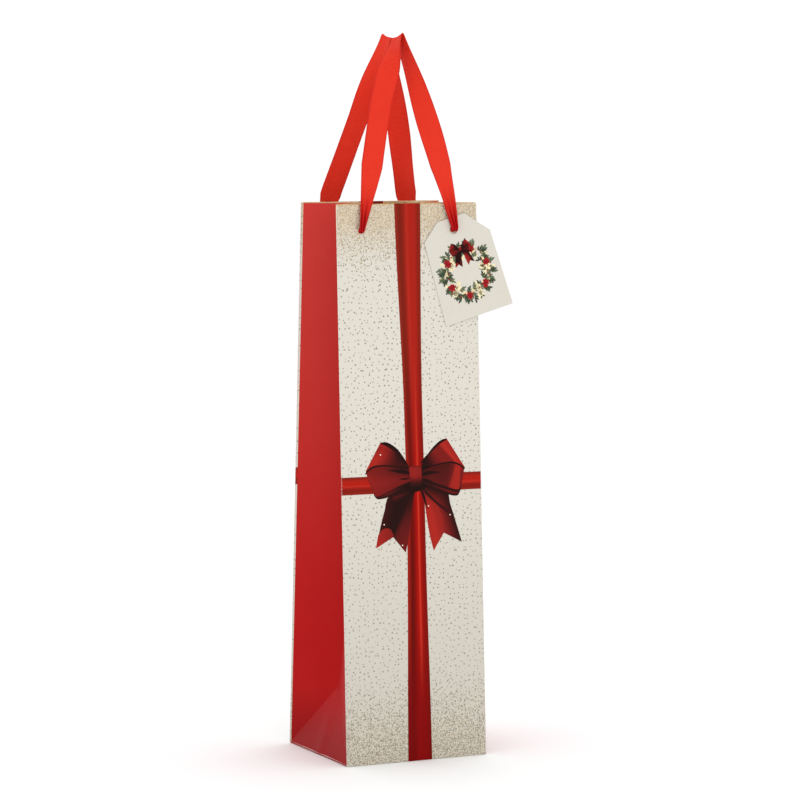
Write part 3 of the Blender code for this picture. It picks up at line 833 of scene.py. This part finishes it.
def rounded_path(corners, reach, spacing):
    """Points along straight runs between corners, each corner rounded over its reach."""
    points = [corners[0]]
    for i in range(1, len(corners) - 1):
        before = (corners[i - 1] - corners[i]).normalized() * reach[i - 1]
        after = (corners[i + 1] - corners[i]).normalized() * reach[i - 1]
        start, end = corners[i] + before, corners[i] + after
        for share in spread(0.0, 1.0, 13):
            points.append(start.lerp(corners[i], share).lerp(corners[i].lerp(end, share), share))
    points.append(corners[-1])
    filled = [points[0]]
    for a, b in zip(points, points[1:], strict=False):
        steps = max(1, round((b - a).length / spacing))
        filled += [a.lerp(b, (k + 1) / steps) for k in range(steps)]
    return filled


def handle_corners(panel):
    """Corners of the ribbon's centre line, out through the left hole, up over the top and in at
    the right hole, each but the first and last with the reach of its rounding."""
    side = panel.side

    def against(x, up, depth):
        return panel.hinge + X_AXIS * x + panel.up * up + panel.inward * depth

    apex = Vector((APEX_X, panel.sign * APEX_Y, APEX_Z))
    left, right = (against(x, BEND_Z / panel.up.z, -RIBBON_OUT) for x in BEND_X[side])
    bowed = [
        [(foot.lerp(apex, share) + X_AXIS * way, BOW_TURN) for share, way in bow]
        for foot, bow in zip((left, right), BOWS[side], strict=True)
    ]
    hole = panel.hole
    tag_side = RIBBON_OUT + (RIBBON_OVER_TAG if side == "front" else 0)
    return [
        (against(-HOLE_X, hole, RIBBON_IN), None),
        (against(-HOLE_X, hole, -RIBBON_OUT), HOLE_TURN),
        (left, PANEL_TURN),
        *bowed[0],
        (apex, APEX_TURN),
        *bowed[1][::-1],
        (right, PANEL_TURN),
        (against(HOLE_X, hole, -tag_side), HOLE_TURN),
        (against(HOLE_X, hole, RIBBON_IN), None),
    ]


def make_handle(panel, finishes):
    """A flat woven ribbon loop. It is gathered where it goes in at each hole, and each leg turns
    a quarter turn on its way up, so that the loop's top lies flat over a finger."""
    side = panel.side
    corners = handle_corners(panel)
    path = rounded_path([c for c, _ in corners], [r for _, r in corners[1:-1]], 0.0011)
    apex = max((c for c, _ in corners), key=lambda corner: corner.z)
    normal = (corners[2][0] - apex).cross(corners[-3][0] - apex).normalized()
    if normal.y > 0:
        normal = -normal
    hole_z = panel.at(0, panel.hole).z
    columns = 29
    points, flat, gathered = [], [], []
    length = 0.0
    for i, centre in enumerate(path):
        if i:
            length += (centre - path[i - 1]).length
        tangent = (path[min(i + 1, len(path) - 1)] - path[max(i - 1, 0)]).normalized()
        turn = math.pi / 2 * smooth_step(*TWISTS[side][centre.x > APEX_X], centre.z)
        level = (X_AXIS - tangent * tangent.x).normalized() if math.cos(turn) > 1e-6 else Vector()
        across = level * math.cos(turn) + normal * math.sin(turn)
        across = (across - tangent * across.dot(tangent)).normalized()
        open_share = min(1, max(0, (centre.z - hole_z) / (FULL_WIDTH_Z[side] - hole_z)))
        width = RIBBON_TIP_WIDTH + (RIBBON_WIDTH - RIBBON_TIP_WIDTH) * open_share
        closed = 1 - open_share
        pleat = 0.00135 * closed**1.8
        cup = 0.0007 * open_share
        facing = tangent.cross(across)
        row, row_flat = [], []
        for k in range(columns):
            a = k / (columns - 1) - 0.5
            fold = pleat * math.sin(2 * math.pi * 2.5 * a + 0.8)
            ripple = 0.00016 * (math.sin(length * 95 + 2 * a) + math.sin(length * 61 + 7 * a)) * open_share
            rise = cup * (0.5 - 2 * a * a) + fold + ripple
            row.append(centre + across * (width * a) + facing * rise)
            row_flat.append((RIBBON_WIDTH * a, length))
            gathered.append(closed)
        points.append(row)
        flat.append(row_flat)
    name = side + "_ribbon"
    mesh = grid_mesh(name, points, flat, -panel.inward)
    # The gathered share also sets the ribbon's painted shade near the holes.
    attribute = mesh.attributes.new("gathered", "FLOAT", "POINT")
    attribute.data.foreach_set("value", gathered)
    ribbon = link(name, mesh, finishes["ribbon"])
    thicken(ribbon, RIBBON_THICK, 0.0, 0)
    baked(ribbon, 60)
    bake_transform(ribbon)
    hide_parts(side + "_handle_ribbon")
    return ribbon, length


def knot_centre(panel, end):
    x = -HOLE_X if end == "left" else HOLE_X
    return panel.hinge + X_AXIS * x + panel.up * panel.hole + panel.inward * KNOT_IN


def make_knot(panel, end, finishes):
    """The ribbon end's overhand knot behind the hem."""
    centre = knot_centre(panel, end)
    steps = 132
    path = []
    for i in range(steps):
        t = 2 * math.pi * i / steps
        a = KNOT_SIZE * (math.sin(t) + 1.5 * math.sin(2 * t))
        b = KNOT_SIZE * (math.cos(t) - 1.5 * math.cos(2 * t)) * 0.95
        c = -KNOT_SIZE * 0.75 * math.sin(3 * t)
        path.append(centre + X_AXIS * a + panel.up * b + panel.inward * c)
    around = 10
    vertices, faces, flat = [], [], []
    for i, point in enumerate(path):
        tangent = (path[(i + 1) % steps] - path[i - 1]).normalized()
        out = (point - centre).normalized()
        out = (out - tangent * out.dot(tangent)).normalized()
        wide = tangent.cross(out)
        for k in range(around):
            angle = 2 * math.pi * k / around
            pucker = 1 + 0.10 * math.sin(3 * angle + i * 0.25)
            rim = wide * KNOT_STRAND[0] * math.cos(angle) + out * KNOT_STRAND[1] * math.sin(angle)
            vertices.append(point + rim * pucker)
            flat.append((0.004 * math.cos(angle), i * 0.0004))
    for i in range(steps):
        j = (i + 1) % steps
        for k in range(around):
            m = (k + 1) % around
            faces.append((i * around + k, i * around + m, j * around + m, j * around + k))
    name = f"{panel.side}_{end}_tied_knot"
    mesh = uv_mesh(name, vertices, faces, flat)
    mesh.shade_smooth()
    knot = link(name, mesh, finishes["ribbon"])
    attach(knot, panel.side)
    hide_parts(f"{panel.side}_{end}_knot")
    return knot


def make_tail(panel, end, finishes):
    """The ribbon's cut end, which hangs from the knot and opens out to a notch."""
    centre = knot_centre(panel, end)
    rows = 22
    points, flat = [], []
    for i, s in enumerate(spread(0.0, TAIL_LENGTH, rows)):
        open_share = smooth_step(0.0, 0.010, s)
        width = TAIL_NECK + (TAIL_WIDTH - TAIL_NECK) * open_share
        row, row_flat = [], []
        for k in range(15):
            a = k / 14 - 0.5
            fold = 0.0007 * math.sin(2 * math.pi * 2 * a) * (1 - 0.6 * open_share)
            notch = TAIL_NOTCH * (0.5 - abs(a)) * 2
            down = s - notch if i == rows - 1 else s
            depth = 0.0008 + 0.0022 * math.sin(s * 120) + fold
            row.append(centre + X_AXIS * (width * a) - panel.up * (0.003 + down) + panel.inward * depth)
            row_flat.append((TAIL_WIDTH * a, down))
        points.append(row)
        flat.append(row_flat)
    name = f"{panel.side}_{end}_ribbon_tail"
    tail = link(name, grid_mesh(name, points, flat, -panel.inward), finishes["ribbon"])
    thicken(tail, RIBBON_THICK, 0.0, 0)
    baked(tail, 60)
    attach(tail, panel.side)
    return tail


# ---------------------------------------------------------------- printed pictures

SATIN = [
    (0.00, (28, 13, 11)), (0.20, (54, 17, 15)), (0.45, (108, 24, 22)),
    (0.70, (152, 34, 28)), (0.90, (188, 44, 32)), (1.00, (206, 62, 44)),
]


def tone(stops, value):
    """A colour between the stops, as linear light."""
    value = min(max(value, 0), 1)
    for (low, a), (high, b) in zip(stops, stops[1:], strict=False):
        if value <= high:
            share = (value - low) / (high - low)
            return srgb(*[p + (q - p) * share for p, q in zip(a, b, strict=True)])
    return srgb(*stops[-1][1])


def curve(points, count):
    """count points, evenly spaced in share, along a smooth curve through the given ones."""
    given = [Vector(p) for p in points]
    given = [given[0] * 2 - given[1], *given, given[-1] * 2 - given[-2]]
    spans = len(given) - 3
    made = []
    for share in spread(0.0, spans, count):
        i = min(int(share), spans - 1)
        t = share - i
        a, b, c, d = given[i : i + 4]
        square = (2 * a - 5 * b + 4 * c - d) * t * t
        cube = (3 * b - a - 3 * c + d) * t**3
        made.append(0.5 * (2 * b + (c - a) * t + square + cube))
    return made


def heading(angle):
    return Vector((math.cos(angle), math.sin(angle)))


class Picture:
    """Printed shapes, collected as flat patches with a colour at every point."""

    def __init__(self, scale):
        self.scale = scale
        self.vertices, self.faces, self.colours = [], [], []

    def quads(self, start, rows, columns):
        """The faces of a grid of points that begins at start."""
        for i in range(rows - 1):
            for k in range(columns - 1):
                a = start + i * columns + k
                self.faces.append((a, a + columns, a + columns + 1, a + 1))

    def patch(self, first, second, shade, level, steps):
        """Fills between two curves; shade(along, across) gives the tone, level the stacking."""
        along, across = steps
        one, two = curve(first, along), curve(second, along)
        start = len(self.vertices)
        for i in range(along):
            for k in range(across):
                share = k / (across - 1)
                point = one[i].lerp(two[i], share) * self.scale
                self.vertices.append((point.x, point.y, level))
                self.colours.append(tone(SATIN, shade(i / (along - 1), share)))
        self.quads(start, along, across)

    def leaf(self, centre, angle, length, width, stops, level, vein=0.25):
        """A pointed leaf or petal with a lighter middle."""
        turn = heading(angle)
        side = Vector((-turn.y, turn.x))
        start = len(self.vertices)
        rows, columns = 8, 5
        for i in range(rows):
            share = i / (rows - 1)
            half = width / 2 * math.sin(math.pi * share**0.8) ** 0.8 if 0 < share < 1 else 0
            for k in range(columns):
                a = k / (columns - 1) * 2 - 1
                point = (centre + turn * (length * share) + side * (half * a)) * self.scale
                self.vertices.append((point.x, point.y, level))
                light = 0.35 + 0.4 * share + (vein if k == 2 else -0.1 * a)
                self.colours.append(tone(stops, light))
        self.quads(start, rows, columns)

    def disc(self, centre, radius, stops, level, light=0.6):
        start = len(self.vertices)
        count = 12
        point = centre * self.scale
        self.vertices.append((point.x, point.y, level))
        self.colours.append(tone(stops, light + 0.3))
        for i in range(count):
            edge = (centre + heading(2 * math.pi * i / count) * radius) * self.scale
            self.vertices.append((edge.x, edge.y, level))
            self.colours.append(tone(stops, light - 0.3))
        for i in range(count):
            self.faces.append((start, start + 1 + i, start + 1 + (i + 1) % count))

    def piece(self, name, to_world, outward, ink):
        """The picture as a piece, each flat point (x, y, level) carried to its place."""
        mesh = bpy.data.meshes.new(name)
        mesh.from_pydata([tuple(to_world(*v)) for v in self.vertices], [], self.faces)
        layer = mesh.color_attributes.new("ink", "FLOAT_COLOR", "POINT")
        layer.data.foreach_set("color", [c for colour in self.colours for c in colour])
        shape = bmesh.new()
        shape.from_mesh(mesh)
        for face in shape.faces:
            if face.calc_area() > 0 and face.normal.dot(outward) < 0:
                face.normal_flip()
        shape.to_mesh(mesh)
        shape.free()
        mesh.shade_smooth()
        return link(name, mesh, ink)


def peak(value, centre, width):
    """1 at the centre, falling away over the width."""
    return math.exp(-(((value - centre) / width) ** 2))


def draw_bow(picture, base, gap, dark=0.0):
    """A two-loop satin bow with notched tails, in millimetres about its knot. base is the height
    of its lowest layer and gap the height between layers."""

    def lay(first, second, shade, layer, steps=(40, 14)):
        picture.patch(first, second, lambda a, b: shade(a, b) * BOW_DEPTH - dark, base + layer * gap, steps)

    # The left tail: its dark outer half, its inner half, its bright tip and the fold at its root.
    left_fold = [(-1, -8), (-6, -16), (-9.5, -25), (-13.5, -33), (-16.5, -38.9)]
    lay([(-3, -6), (-18.5, -12.0), (-22.5, -22), (-26.0, -34), (-28.9, -45.5)], left_fold,
        lambda a, b: 0.16 - 0.10 * peak(b, 0.7, 0.4) + 0.14 * peak(b, 0.0, 0.25) * a, 0)
    lay(left_fold, [(0.5, -8), (-1.6, -14), (-3.2, -24), (-5.2, -38), (-7.8, -49.4)],
        lambda a, b: 0.10 + 0.30 * smooth_step(0.1, 0.8, a) + 0.10 * b * a - 0.12 * peak(b, 0.0, 0.2), 0)
    lay([(-27.2, -37.2), (-24.0, -33.6), (-20.4, -33.0), (-18.0, -34.2), (-16.2, -37.6)],
        [(-28.9, -45.5), (-25.8, -43.9), (-22.7, -42.2), (-19.6, -40.5), (-16.5, -38.9)],
        lambda a, b: 0.80 - 0.25 * a + 0.08 * b, 1, (24, 10))
    lay([(-16.4, -13.2), (-11, -11.8), (-7, -10.8), (-3, -8.6)],
        [(-17.6, -16.4), (-14, -18), (-9, -15.6), (-3.4, -10.6)],
        lambda a, b: 0.42 - 0.34 * b - 0.20 * a, 1, (20, 10))

    # The right tail: a bright inner half and a darker outer one, with a fold line between.
    right_fold = [(4, -5), (10.5, -13), (16, -21), (19.0, -29), (19.8, -38.0)]
    lay([(3, -6), (6.0, -16), (7.6, -27), (9.6, -39), (12.3, -49.2)], right_fold,
        lambda a, b: 0.84 - 0.62 * peak(a, 0.0, 0.22) + 0.08 * peak(b, 0.4, 0.25) - 0.10 * b, 0)
    lay(right_fold, [(5, -4), (21.5, -10), (25.0, -20), (29.2, -33), (32.8, -44.6)],
        lambda a, b: 0.56 - 0.42 * b + 0.14 * a * (1 - b) - 0.40 * peak(a, 0.0, 0.25), 0)
    lay([(4.4, -7), (8.0, -10.5), (15.0, -17.2), (22.6, -23.0), (26.4, -28.6)],
        [(4.2, -8), (7.6, -12.6), (14.6, -19.0), (20.8, -24.0), (26.4, -28.6)],
        lambda a, b: 0.10 + 0.20 * a, 1, (30, 5))
    lay([(3.4, -7.4), (6.4, -13), (8.8, -22.8)], [(3.0, -8.6), (5.6, -16), (8.8, -22.8)],
        lambda a, b: 0.06 + 0.18 * a, 1, (20, 5))

    # The left loop: the strip behind its crease, its front face and its dark underside.
    left_crease = [(-35.0, 4.6), (-30.5, 7.2), (-22.7, 7.9), (-14.3, 6.7), (-4.6, 3.1)]
    left_top = [(-24.3, 22.4), (-19.5, 22.2), (-13.6, 18.7), (-9.1, 13.6), (-4.6, 6.4)]

    def left_strip(a, b):
        return 0.84 - 0.66 * smooth_step(0.22, 0.80, a) - 0.12 * peak(b, 0.25, 0.2) + 0.12 * b * a

    lay(left_top, left_crease, left_strip, 1)
    lay(left_top, [(-24.3, 21.6), (-20.2, 19.8), (-14.9, 16.4), (-10.2, 12.0), (-4.6, 6.0)],
        lambda a, b: 0.02 + 0.10 * b, 2, (30, 5))
    lay([(-29.6, -9.0), (-28.9, -12.0), (-22, -9.4), (-13, -5.8), (-3.6, -2.6)],
        [(-28.9, -12.5), (-26.3, -14.0), (-18.8, -12.9), (-12.0, -10.2), (-3.6, -6.8)],
        lambda a, b: 0.16 + 0.30 * peak(b, 0.5, 0.22) * peak(a, 0.55, 0.25) - 0.1 * a, 1)
    left_lip = [(-29.9, -9.5), (-27.4, -12.2), (-19.5, -9.4), (-11.5, -6.0), (-3.6, -3.4)]

    def left_face(a, b):
        shade = 0.30 * smooth_step(0.35, 1.0, a) * (1 - b)
        return 0.58 + 0.12 * peak(b, 0.62, 0.28) - shade - 0.10 * a

    lay(left_crease, [(-33.9, -0.4), *left_lip], left_face, 2)
    lay([(-35.6, 3.0), *left_crease[1:]],
        [(-35.2, 2.2), (-30.3, 6.0), (-22.6, 6.9), (-14.2, 5.8), (-4.6, 2.4)],
        lambda a, b: 0.05 + 0.10 * b, 3, (30, 4))

    # The right loop, built the same way but with a facet that catches the light.
    right_crease = [(35.7, 4.1), (31.2, 6.6), (24.5, 8.0), (13.0, 6.3), (4.6, 3.6)]
    right_top = [(23.0, 23.1), (18.8, 22.1), (13.6, 18.3), (9.1, 13.4), (4.4, 6.3)]

    def right_strip(a, _):
        facet = smooth_step(0.34, 0.40, a) * 0.22
        return 0.80 - facet - 0.52 * smooth_step(0.56, 0.92, a) + 0.10 * peak(a, 0.26, 0.08)

    lay(right_top, right_crease, right_strip, 1)
    lay(right_top, [(22.6, 22.0), (18.0, 19.6), (12.6, 15.4), (8.6, 11.4), (4.4, 6.0)],
        lambda a, b: 0.02 + 0.10 * b, 2, (30, 5))
    lay([(33.2, -7.6), (30.6, -10.4), (24.0, -8.6), (13.0, -4.8), (3.8, -2.2)],
        [(32.1, -11.8), (29.9, -14.3), (24.6, -13.6), (15.4, -10.2), (3.8, -5.8)],
        lambda a, b: 0.10 + 0.46 * peak(b, 0.55, 0.16) * peak(a, 0.45, 0.35), 1)

    def right_face(a, b):
        band = 0.26 * (smooth_step(0.14, 0.17, a) - smooth_step(0.30 + 0.12 * b, 0.36 + 0.12 * b, a))
        shade = 0.26 * smooth_step(0.30, 0.55, a) * (1 - 0.4 * b)
        return 0.56 + band - shade - 0.10 * smooth_step(0.8, 1.0, a)

    right_lip = [(33.4, -7.3), (29.8, -10.2), (22.0, -8.0), (12.6, -4.8), (3.8, -2.8)]
    lay(right_crease, right_lip, right_face, 2)
    lay([(36.0, 3.4), *right_crease[1:]],
        [(35.6, 2.6), (31.0, 5.4), (24.3, 7.0), (13.0, 5.4), (4.6, 2.9)],
        lambda a, b: 0.04 + 0.10 * b, 3, (30, 4))

    # Dark pleats fan out from the knot.
    pleats = [
        ((-4, 1.8), (-11, 3.2), (-20.6, 4.6), 2.3),
        ((-4, -1.4), (-8, -1.8), (-12.4, -1.8), 1.1),
        ((-4, 4.6), (-9, 6.0), (-14.0, 7.4), 1.0),
        ((4, 4.4), (9, 5.2), (13.5, 6.4), 1.1),
        ((4, 0.2), (10, 1.4), (18.8, 1.4), 2.5),
        ((4, -2.4), (9, -3.4), (14.0, -5.2), 1.2),
        ((4, 8.0), (7.6, 11.0), (9.8, 13.8), 2.4),
    ]
    for near, middle, far, thick in pleats:
        half = Vector((0, thick / 2))
        lay([Vector(near) + half * 0.5, Vector(middle) + half, Vector(far)],
            [Vector(near) - half * 0.5, Vector(middle) - half, Vector(far) + Vector((0, 0.01))],
            lambda a, b: 0.03 + 0.16 * a**3, 3, (18, 4))
    # The shadow under the knot, and the knot.
    lay([(-9.0, -6.2), (-3, -5.6), (3, -5.4), (8.0, -5.6)],
        [(-6.4, -9.4), (-2, -10.6), (2, -10.2), (7.4, -8.2)], lambda a, b: 0.03, 3, (20, 6))

    def knot_face(a, b):
        lit = 0.72 - 0.30 * peak(a, 0.0, 0.05) - 0.52 * smooth_step(0.45, 1.0, a)
        return lit - 0.14 * abs(b - 0.4)

    lay([(-4.5, 6.4), (-4.0, 0.0), (-3.9, -6.4)], [(4.1, 6.2), (4.5, 0.0), (4.2, -6.8)],
        knot_face, 4, (30, 14))


def make_printed_bow(panel, ink):
    """The bow printed on a panel. It rides with the panel as its own thin layer of ink."""
    picture = Picture(0.001)
    draw_bow(picture, 0.0, 0.00002)
    sparkle = [(0, (250, 236, 214)), (1, (255, 250, 240))]
    for x, y in ((-24.5, 14.5), (-22.8, -30.5), (-10.0, -44.5), (24.5, -26.5), (9, -20)):
        picture.disc(Vector((x, y)), 0.42, sparkle, 0.00006)

    def to_world(a, b, level):
        x = -panel.sign * (BOW_X + a)
        return panel.at(x, (BOW_Z + b) / panel.up.z, -DECAL_RISE - level)

    bow = picture.piece(panel.side + "_printed_bow", to_world, -panel.inward, ink)
    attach(bow, panel.side)


GREENS = [(0.0, (36, 48, 36)), (0.5, (84, 98, 72)), (1.0, (140, 150, 114))]
DARK_GREENS = [(0.0, (24, 34, 28)), (0.5, (50, 66, 50)), (1.0, (96, 110, 82))]
PALE_GOLDS = [(0.0, (216, 202, 152)), (0.6, (230, 218, 176)), (1.0, (238, 230, 200))]
OUTLINES = [(0.0, (26, 30, 24)), (1.0, (48, 52, 40))]
GOLDS = [(0.0, (184, 152, 108)), (0.6, (206, 182, 136)), (1.0, (222, 206, 166))]
TWIGS = [(0.0, (84, 26, 22)), (1.0, (128, 48, 36))]
PETALS = [(0.0, (62, 8, 14)), (0.5, (138, 20, 28)), (1.0, (176, 42, 42))]
BERRIES = [(0.0, (84, 12, 16)), (0.5, (132, 22, 26)), (1.0, (170, 52, 48))]


# Heights of the tag's layers of ink in metres, and the step between leaves that cross.
SLIVER_LEVEL = 0.000012
SPRAY_LEVEL = 0.000018
SPRAY_STEP = 0.000005
PALE_TUFT_LEVEL = 0.000042
DARK_SPRIG_LEVEL = 0.000050
BERRY_LEVEL = 0.000064
FLOWER_LEVEL = 0.000070
TAG_BOW_LEVEL = 0.000092
TAG_BOW_STEP = 0.000008
LEAF_STEP = 0.000002
OUTLINE = 0.13  # the dark line round a leaf, in millimetres


def ring_point(degrees, radius):
    return heading(math.radians(degrees)) * radius


def draw_sprig(picture, foot, lean, length, greens, level, rng):
    """A short twig with narrow leaves in pairs and one at its tip, each with a dark outline."""
    bend = rng.uniform(-0.5, 0.5)
    picture.leaf(foot, lean + bend * 0.4, length * 0.9, 0.30, TWIGS, level, 0.0)
    places = []
    for share in (0.30, 0.62):
        way = lean + bend * share
        place = foot + heading(way) * (length * share)
        for turn in (-0.80, 0.80):
            places.append((place, way + turn, length * rng.uniform(0.40, 0.50)))
    way = lean + bend
    places.append((foot + heading(way) * (length * 0.84), way, length * 0.46))
    for place, way, size in places:
        back = heading(way) * -OUTLINE
        picture.leaf(place + back, way, size + 2 * OUTLINE, size * 0.46 + 2 * OUTLINE, OUTLINES, level, 0.0)
        picture.leaf(place, way, size, size * 0.46, greens, level + LEAF_STEP, 0.40)


def draw_flower(picture, centre, size, start, level, rng):
    """Ragged dark red petals about a dark middle."""
    for k in range(7):
        lean = 2 * math.pi * k / 7 + start + rng.uniform(-0.2, 0.2)
        length = size * rng.uniform(0.75, 1.1)
        picture.leaf(centre, lean, length, length * 0.56, PETALS, level + LEAF_STEP * (k % 3), 0.30)
    for k in range(4):
        lean = 2 * math.pi * k / 4 + start + 0.4
        picture.leaf(centre, lean, size * 0.5, size * 0.3, PETALS, level + 0.000008, 0.34)
    picture.disc(centre, 0.30, TWIGS, level + 0.000012)


def draw_wreath(picture):
    """A ring of leafy sprigs with pale leaves between and red flowers, in millimetres."""
    rng = random.Random(11)
    radius = 15.0

    def pale_leaves(count, level, inner, outer):
        for i in range(count):
            degrees = 360 * i / count + rng.uniform(-4, 4)
            lean = math.radians(degrees) + rng.choice((0.7, -0.6, 1.3, 2.6, 3.4)) + rng.uniform(-0.4, 0.4)
            foot = ring_point(degrees, radius + rng.uniform(inner, outer))
            size = rng.uniform(3.4, 4.8)
            picture.leaf(foot, lean, size, size * 0.60, PALE_GOLDS, level + LEAF_STEP * (i % 4), 0.1)

    pale_leaves(64, 0.0, -3.4, 1.8)
    slivers = 34
    for i in range(slivers):
        degrees = 360 * (i + 0.5) / slivers
        lean = math.radians(degrees) + rng.uniform(-0.9, 2.6)
        foot = ring_point(degrees, radius + rng.uniform(-3.6, 3.0))
        picture.leaf(foot, lean, rng.uniform(2.4, 3.6), rng.uniform(0.7, 1.0), GOLDS, SLIVER_LEVEL, 0.3)
    sprays = 15
    for i in range(sprays):
        for lean, shift, reach in ((0.5, 0.8, 5.0), (-0.6, 0.2, 4.8), (2.5, -0.8, 4.8), (1.5, 0.0, 4.6)):
            degrees = 360 * (i + shift / 2) / sprays + rng.uniform(-5, 5)
            greens = GREENS if rng.random() < 0.6 else DARK_GREENS
            level = SPRAY_LEVEL + SPRAY_STEP * (i % 4)
            way = math.radians(degrees) + lean + rng.uniform(-0.25, 0.25)
            foot = ring_point(degrees, radius + shift)
            draw_sprig(picture, foot, way, reach * rng.uniform(0.85, 1.1), greens, level, rng)
        if i % 2:
            pale_leaves(5, PALE_TUFT_LEVEL, -2.2, 0.8)
    for i in range(sprays):
        degrees = 360 * (i + 0.4) / sprays
        way = math.radians(degrees) + rng.choice((0.2, 2.9, 1.2))
        foot = ring_point(degrees, radius + 0.4)
        draw_sprig(picture, foot, way, 4.6, DARK_GREENS, DARK_SPRIG_LEVEL, rng)
    berries = 22
    for i in range(berries):
        degrees = 360 * (i + 0.3) / berries + rng.uniform(-6, 6)
        place = ring_point(degrees, radius + rng.uniform(-2.4, 2.6))
        picture.disc(place, 0.55, BERRIES, BERRY_LEVEL, 0.55)
    for i, degrees in enumerate((144, 206, 260, 314, 9, 64)):
        draw_flower(picture, ring_point(degrees, radius), 3.3, float(i), FLOWER_LEVEL, rng)


def tag_place():
    """The tag's axes at rest: across, up and out of its front, all tilted with it."""
    axis = Vector(JOINTS["tag_swing"]["axis"])
    spin = Matrix.Rotation(-TAG_TILT, 3, axis)
    panel = PANELS["front"]
    return spin @ X_AXIS, spin @ panel.up, -axis


def make_tag(finishes):
    """A white card tag with clipped upper corners and a printed wreath."""
    across, up, out = tag_place()
    middle = TAG_PIVOT + out * TAG_CARD / 2

    def at(a, b, rise=0.0):
        """A point of the card, which hangs with its lower right corner turned outwards."""
        across_share = (a - TAG_LEFT[0][1]) / (TAG_RIGHT[0][1] - TAG_LEFT[0][1])
        down_share = min(1, max(0, -b / -TAG_LEFT[0][0]))
        twist = TAG_TWIST * across_share**1.5 * (0.25 + 0.75 * down_share)
        return middle + across * a + up * b + out * (rise + twist)

    def edge(corners, b):
        """An edge's x at height b."""
        for (low, a), (high, c) in zip(corners, corners[1:], strict=False):
            if b <= high:
                return a + (c - a) * (b - low) / (high - low)
        return corners[-1][1]

    foot, left_turn, top = (b for b, _ in TAG_LEFT)
    right_turn = TAG_RIGHT[1][0]
    rows = spread(foot, right_turn, 24) + spread(right_turn, left_turn, 4)[1:]
    rows += spread(left_turn, top, 7)[1:]
    shares = spread(0.0, 1.0, 25)
    spans = [(edge(TAG_LEFT, b), edge(TAG_RIGHT, b)) for b in rows]
    points = [[at(a + (c - a) * k, b) for k in shares] for b, (a, c) in zip(rows, spans, strict=True)]
    flat = [[(a + (c - a) * k, b) for k in shares] for b, (a, c) in zip(rows, spans, strict=True)]
    mesh = grid_mesh("tag_sheet", points, flat, out)
    tag = link("tag_sheet", mesh, finishes["tag"])
    thicken(tag, TAG_CARD, second=0)
    baked(tag)
    cut_round(tag, at(0, HOLE_RISE / 2), out, TAG_HOLE)
    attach(tag, "tag")
    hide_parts("gift_tag")

    picture = Picture(0.001)
    draw_wreath(picture)
    bow = Picture(0.001 * TAG_BOW_SIZE)
    draw_bow(bow, TAG_BOW_LEVEL, TAG_BOW_STEP, 0.06)
    start = len(picture.vertices)
    picture.vertices += [(x + TAG_BOW_AT.x, y + TAG_BOW_AT.y, z) for x, y, z in bow.vertices]
    picture.colours += bow.colours
    picture.faces += [tuple(i + start for i in face) for face in bow.faces]

    def to_world(a, b, level):
        return at(a + WREATH_X, b - WREATH_DOWN, DECAL_RISE + level)

    wreath = picture.piece("printed_wreath", to_world, out, finishes["ink"])
    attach(wreath, "tag")


# ---------------------------------------------------------------- studio


def area_light(name, place, size, power):
    """A square light that faces the bag's middle."""
    data = bpy.data.lights.new(name, "AREA")
    data.shape = "RECTANGLE"
    data.size = data.size_y = size
    data.energy = power
    lamp = bpy.data.objects.new(name, data)
    bpy.context.scene.collection.objects.link(lamp)
    lamp.location = place
    lamp.rotation_euler = (LIT - Vector(place)).to_track_quat("-Z", "Y").to_euler()


def make_studio():
    """A pale floor, a bright even surround and two soft lights."""
    scene = bpy.context.scene
    scene.view_settings.view_transform = "Standard"
    world = bpy.data.worlds.new("studio")
    world.use_nodes = True
    world.node_tree.nodes["Background"].inputs["Color"].default_value = (1, 1, 1, 1)
    world.node_tree.nodes["Background"].inputs["Strength"].default_value = SURROUND
    scene.world = world
    shape = bmesh.new()
    bmesh.ops.create_circle(shape, cap_ends=True, segments=64, radius=60.0)
    mesh = bpy.data.meshes.new("floor")
    shape.to_mesh(mesh)
    shape.free()
    floor = link("floor", mesh, studio_floor())
    floor.location.z = -0.0002
    for name, place, size, power in LIGHTS:
        area_light(name, place, size, power)


def make_camera():
    yaw, pitch = CAMERA_YAW, CAMERA_PITCH
    ahead = Vector((math.sin(yaw) * math.cos(pitch), math.cos(yaw) * math.cos(pitch), -math.sin(pitch)))
    right = Vector((math.cos(yaw), -math.sin(yaw), 0))
    above = right.cross(ahead)
    data = bpy.data.cameras.new("camera")
    data.lens = CAMERA_LENS
    data.sensor_width = 36.0
    camera = bpy.data.objects.new("camera", data)
    bpy.context.scene.collection.objects.link(camera)
    straight = CAMERA_TARGET - ahead * CAMERA_DISTANCE
    camera.location = straight + right * CAMERA_SLIDE[0] + above * CAMERA_SLIDE[1]
    camera.rotation_euler = ahead.to_track_quat("-Z", "Y").to_euler()
    bpy.context.scene.camera = camera


def main():
    make_camera()
    make_studio()
    finishes = {
        "print": printed_paper(),
        "inside": bare_paper(),
        "board": grey_board(),
        "ribbon": woven_ribbon(),
        "tag": tag_card(),
        "ink": print_ink(),
    }
    for panel in PANELS.values():
        make_panel_sheet(panel, finishes)
        make_top_board(panel, finishes)
        for end in ("left", "right"):
            make_leaf(end, panel, finishes)
        make_printed_bow(panel, finishes["ink"])
    for end in ("left", "right"):
        make_foot_triangle(end, finishes)
    make_base(finishes)
    make_seam(PANELS["back"], finishes)
    for panel in PANELS.values():
        ribbon, length = make_handle(panel, finishes)
        ends = []
        for end in ("left", "right"):
            ends += [make_knot(panel, end, finishes), make_tail(panel, end, finishes)]
    make_tag(finishes)


main()
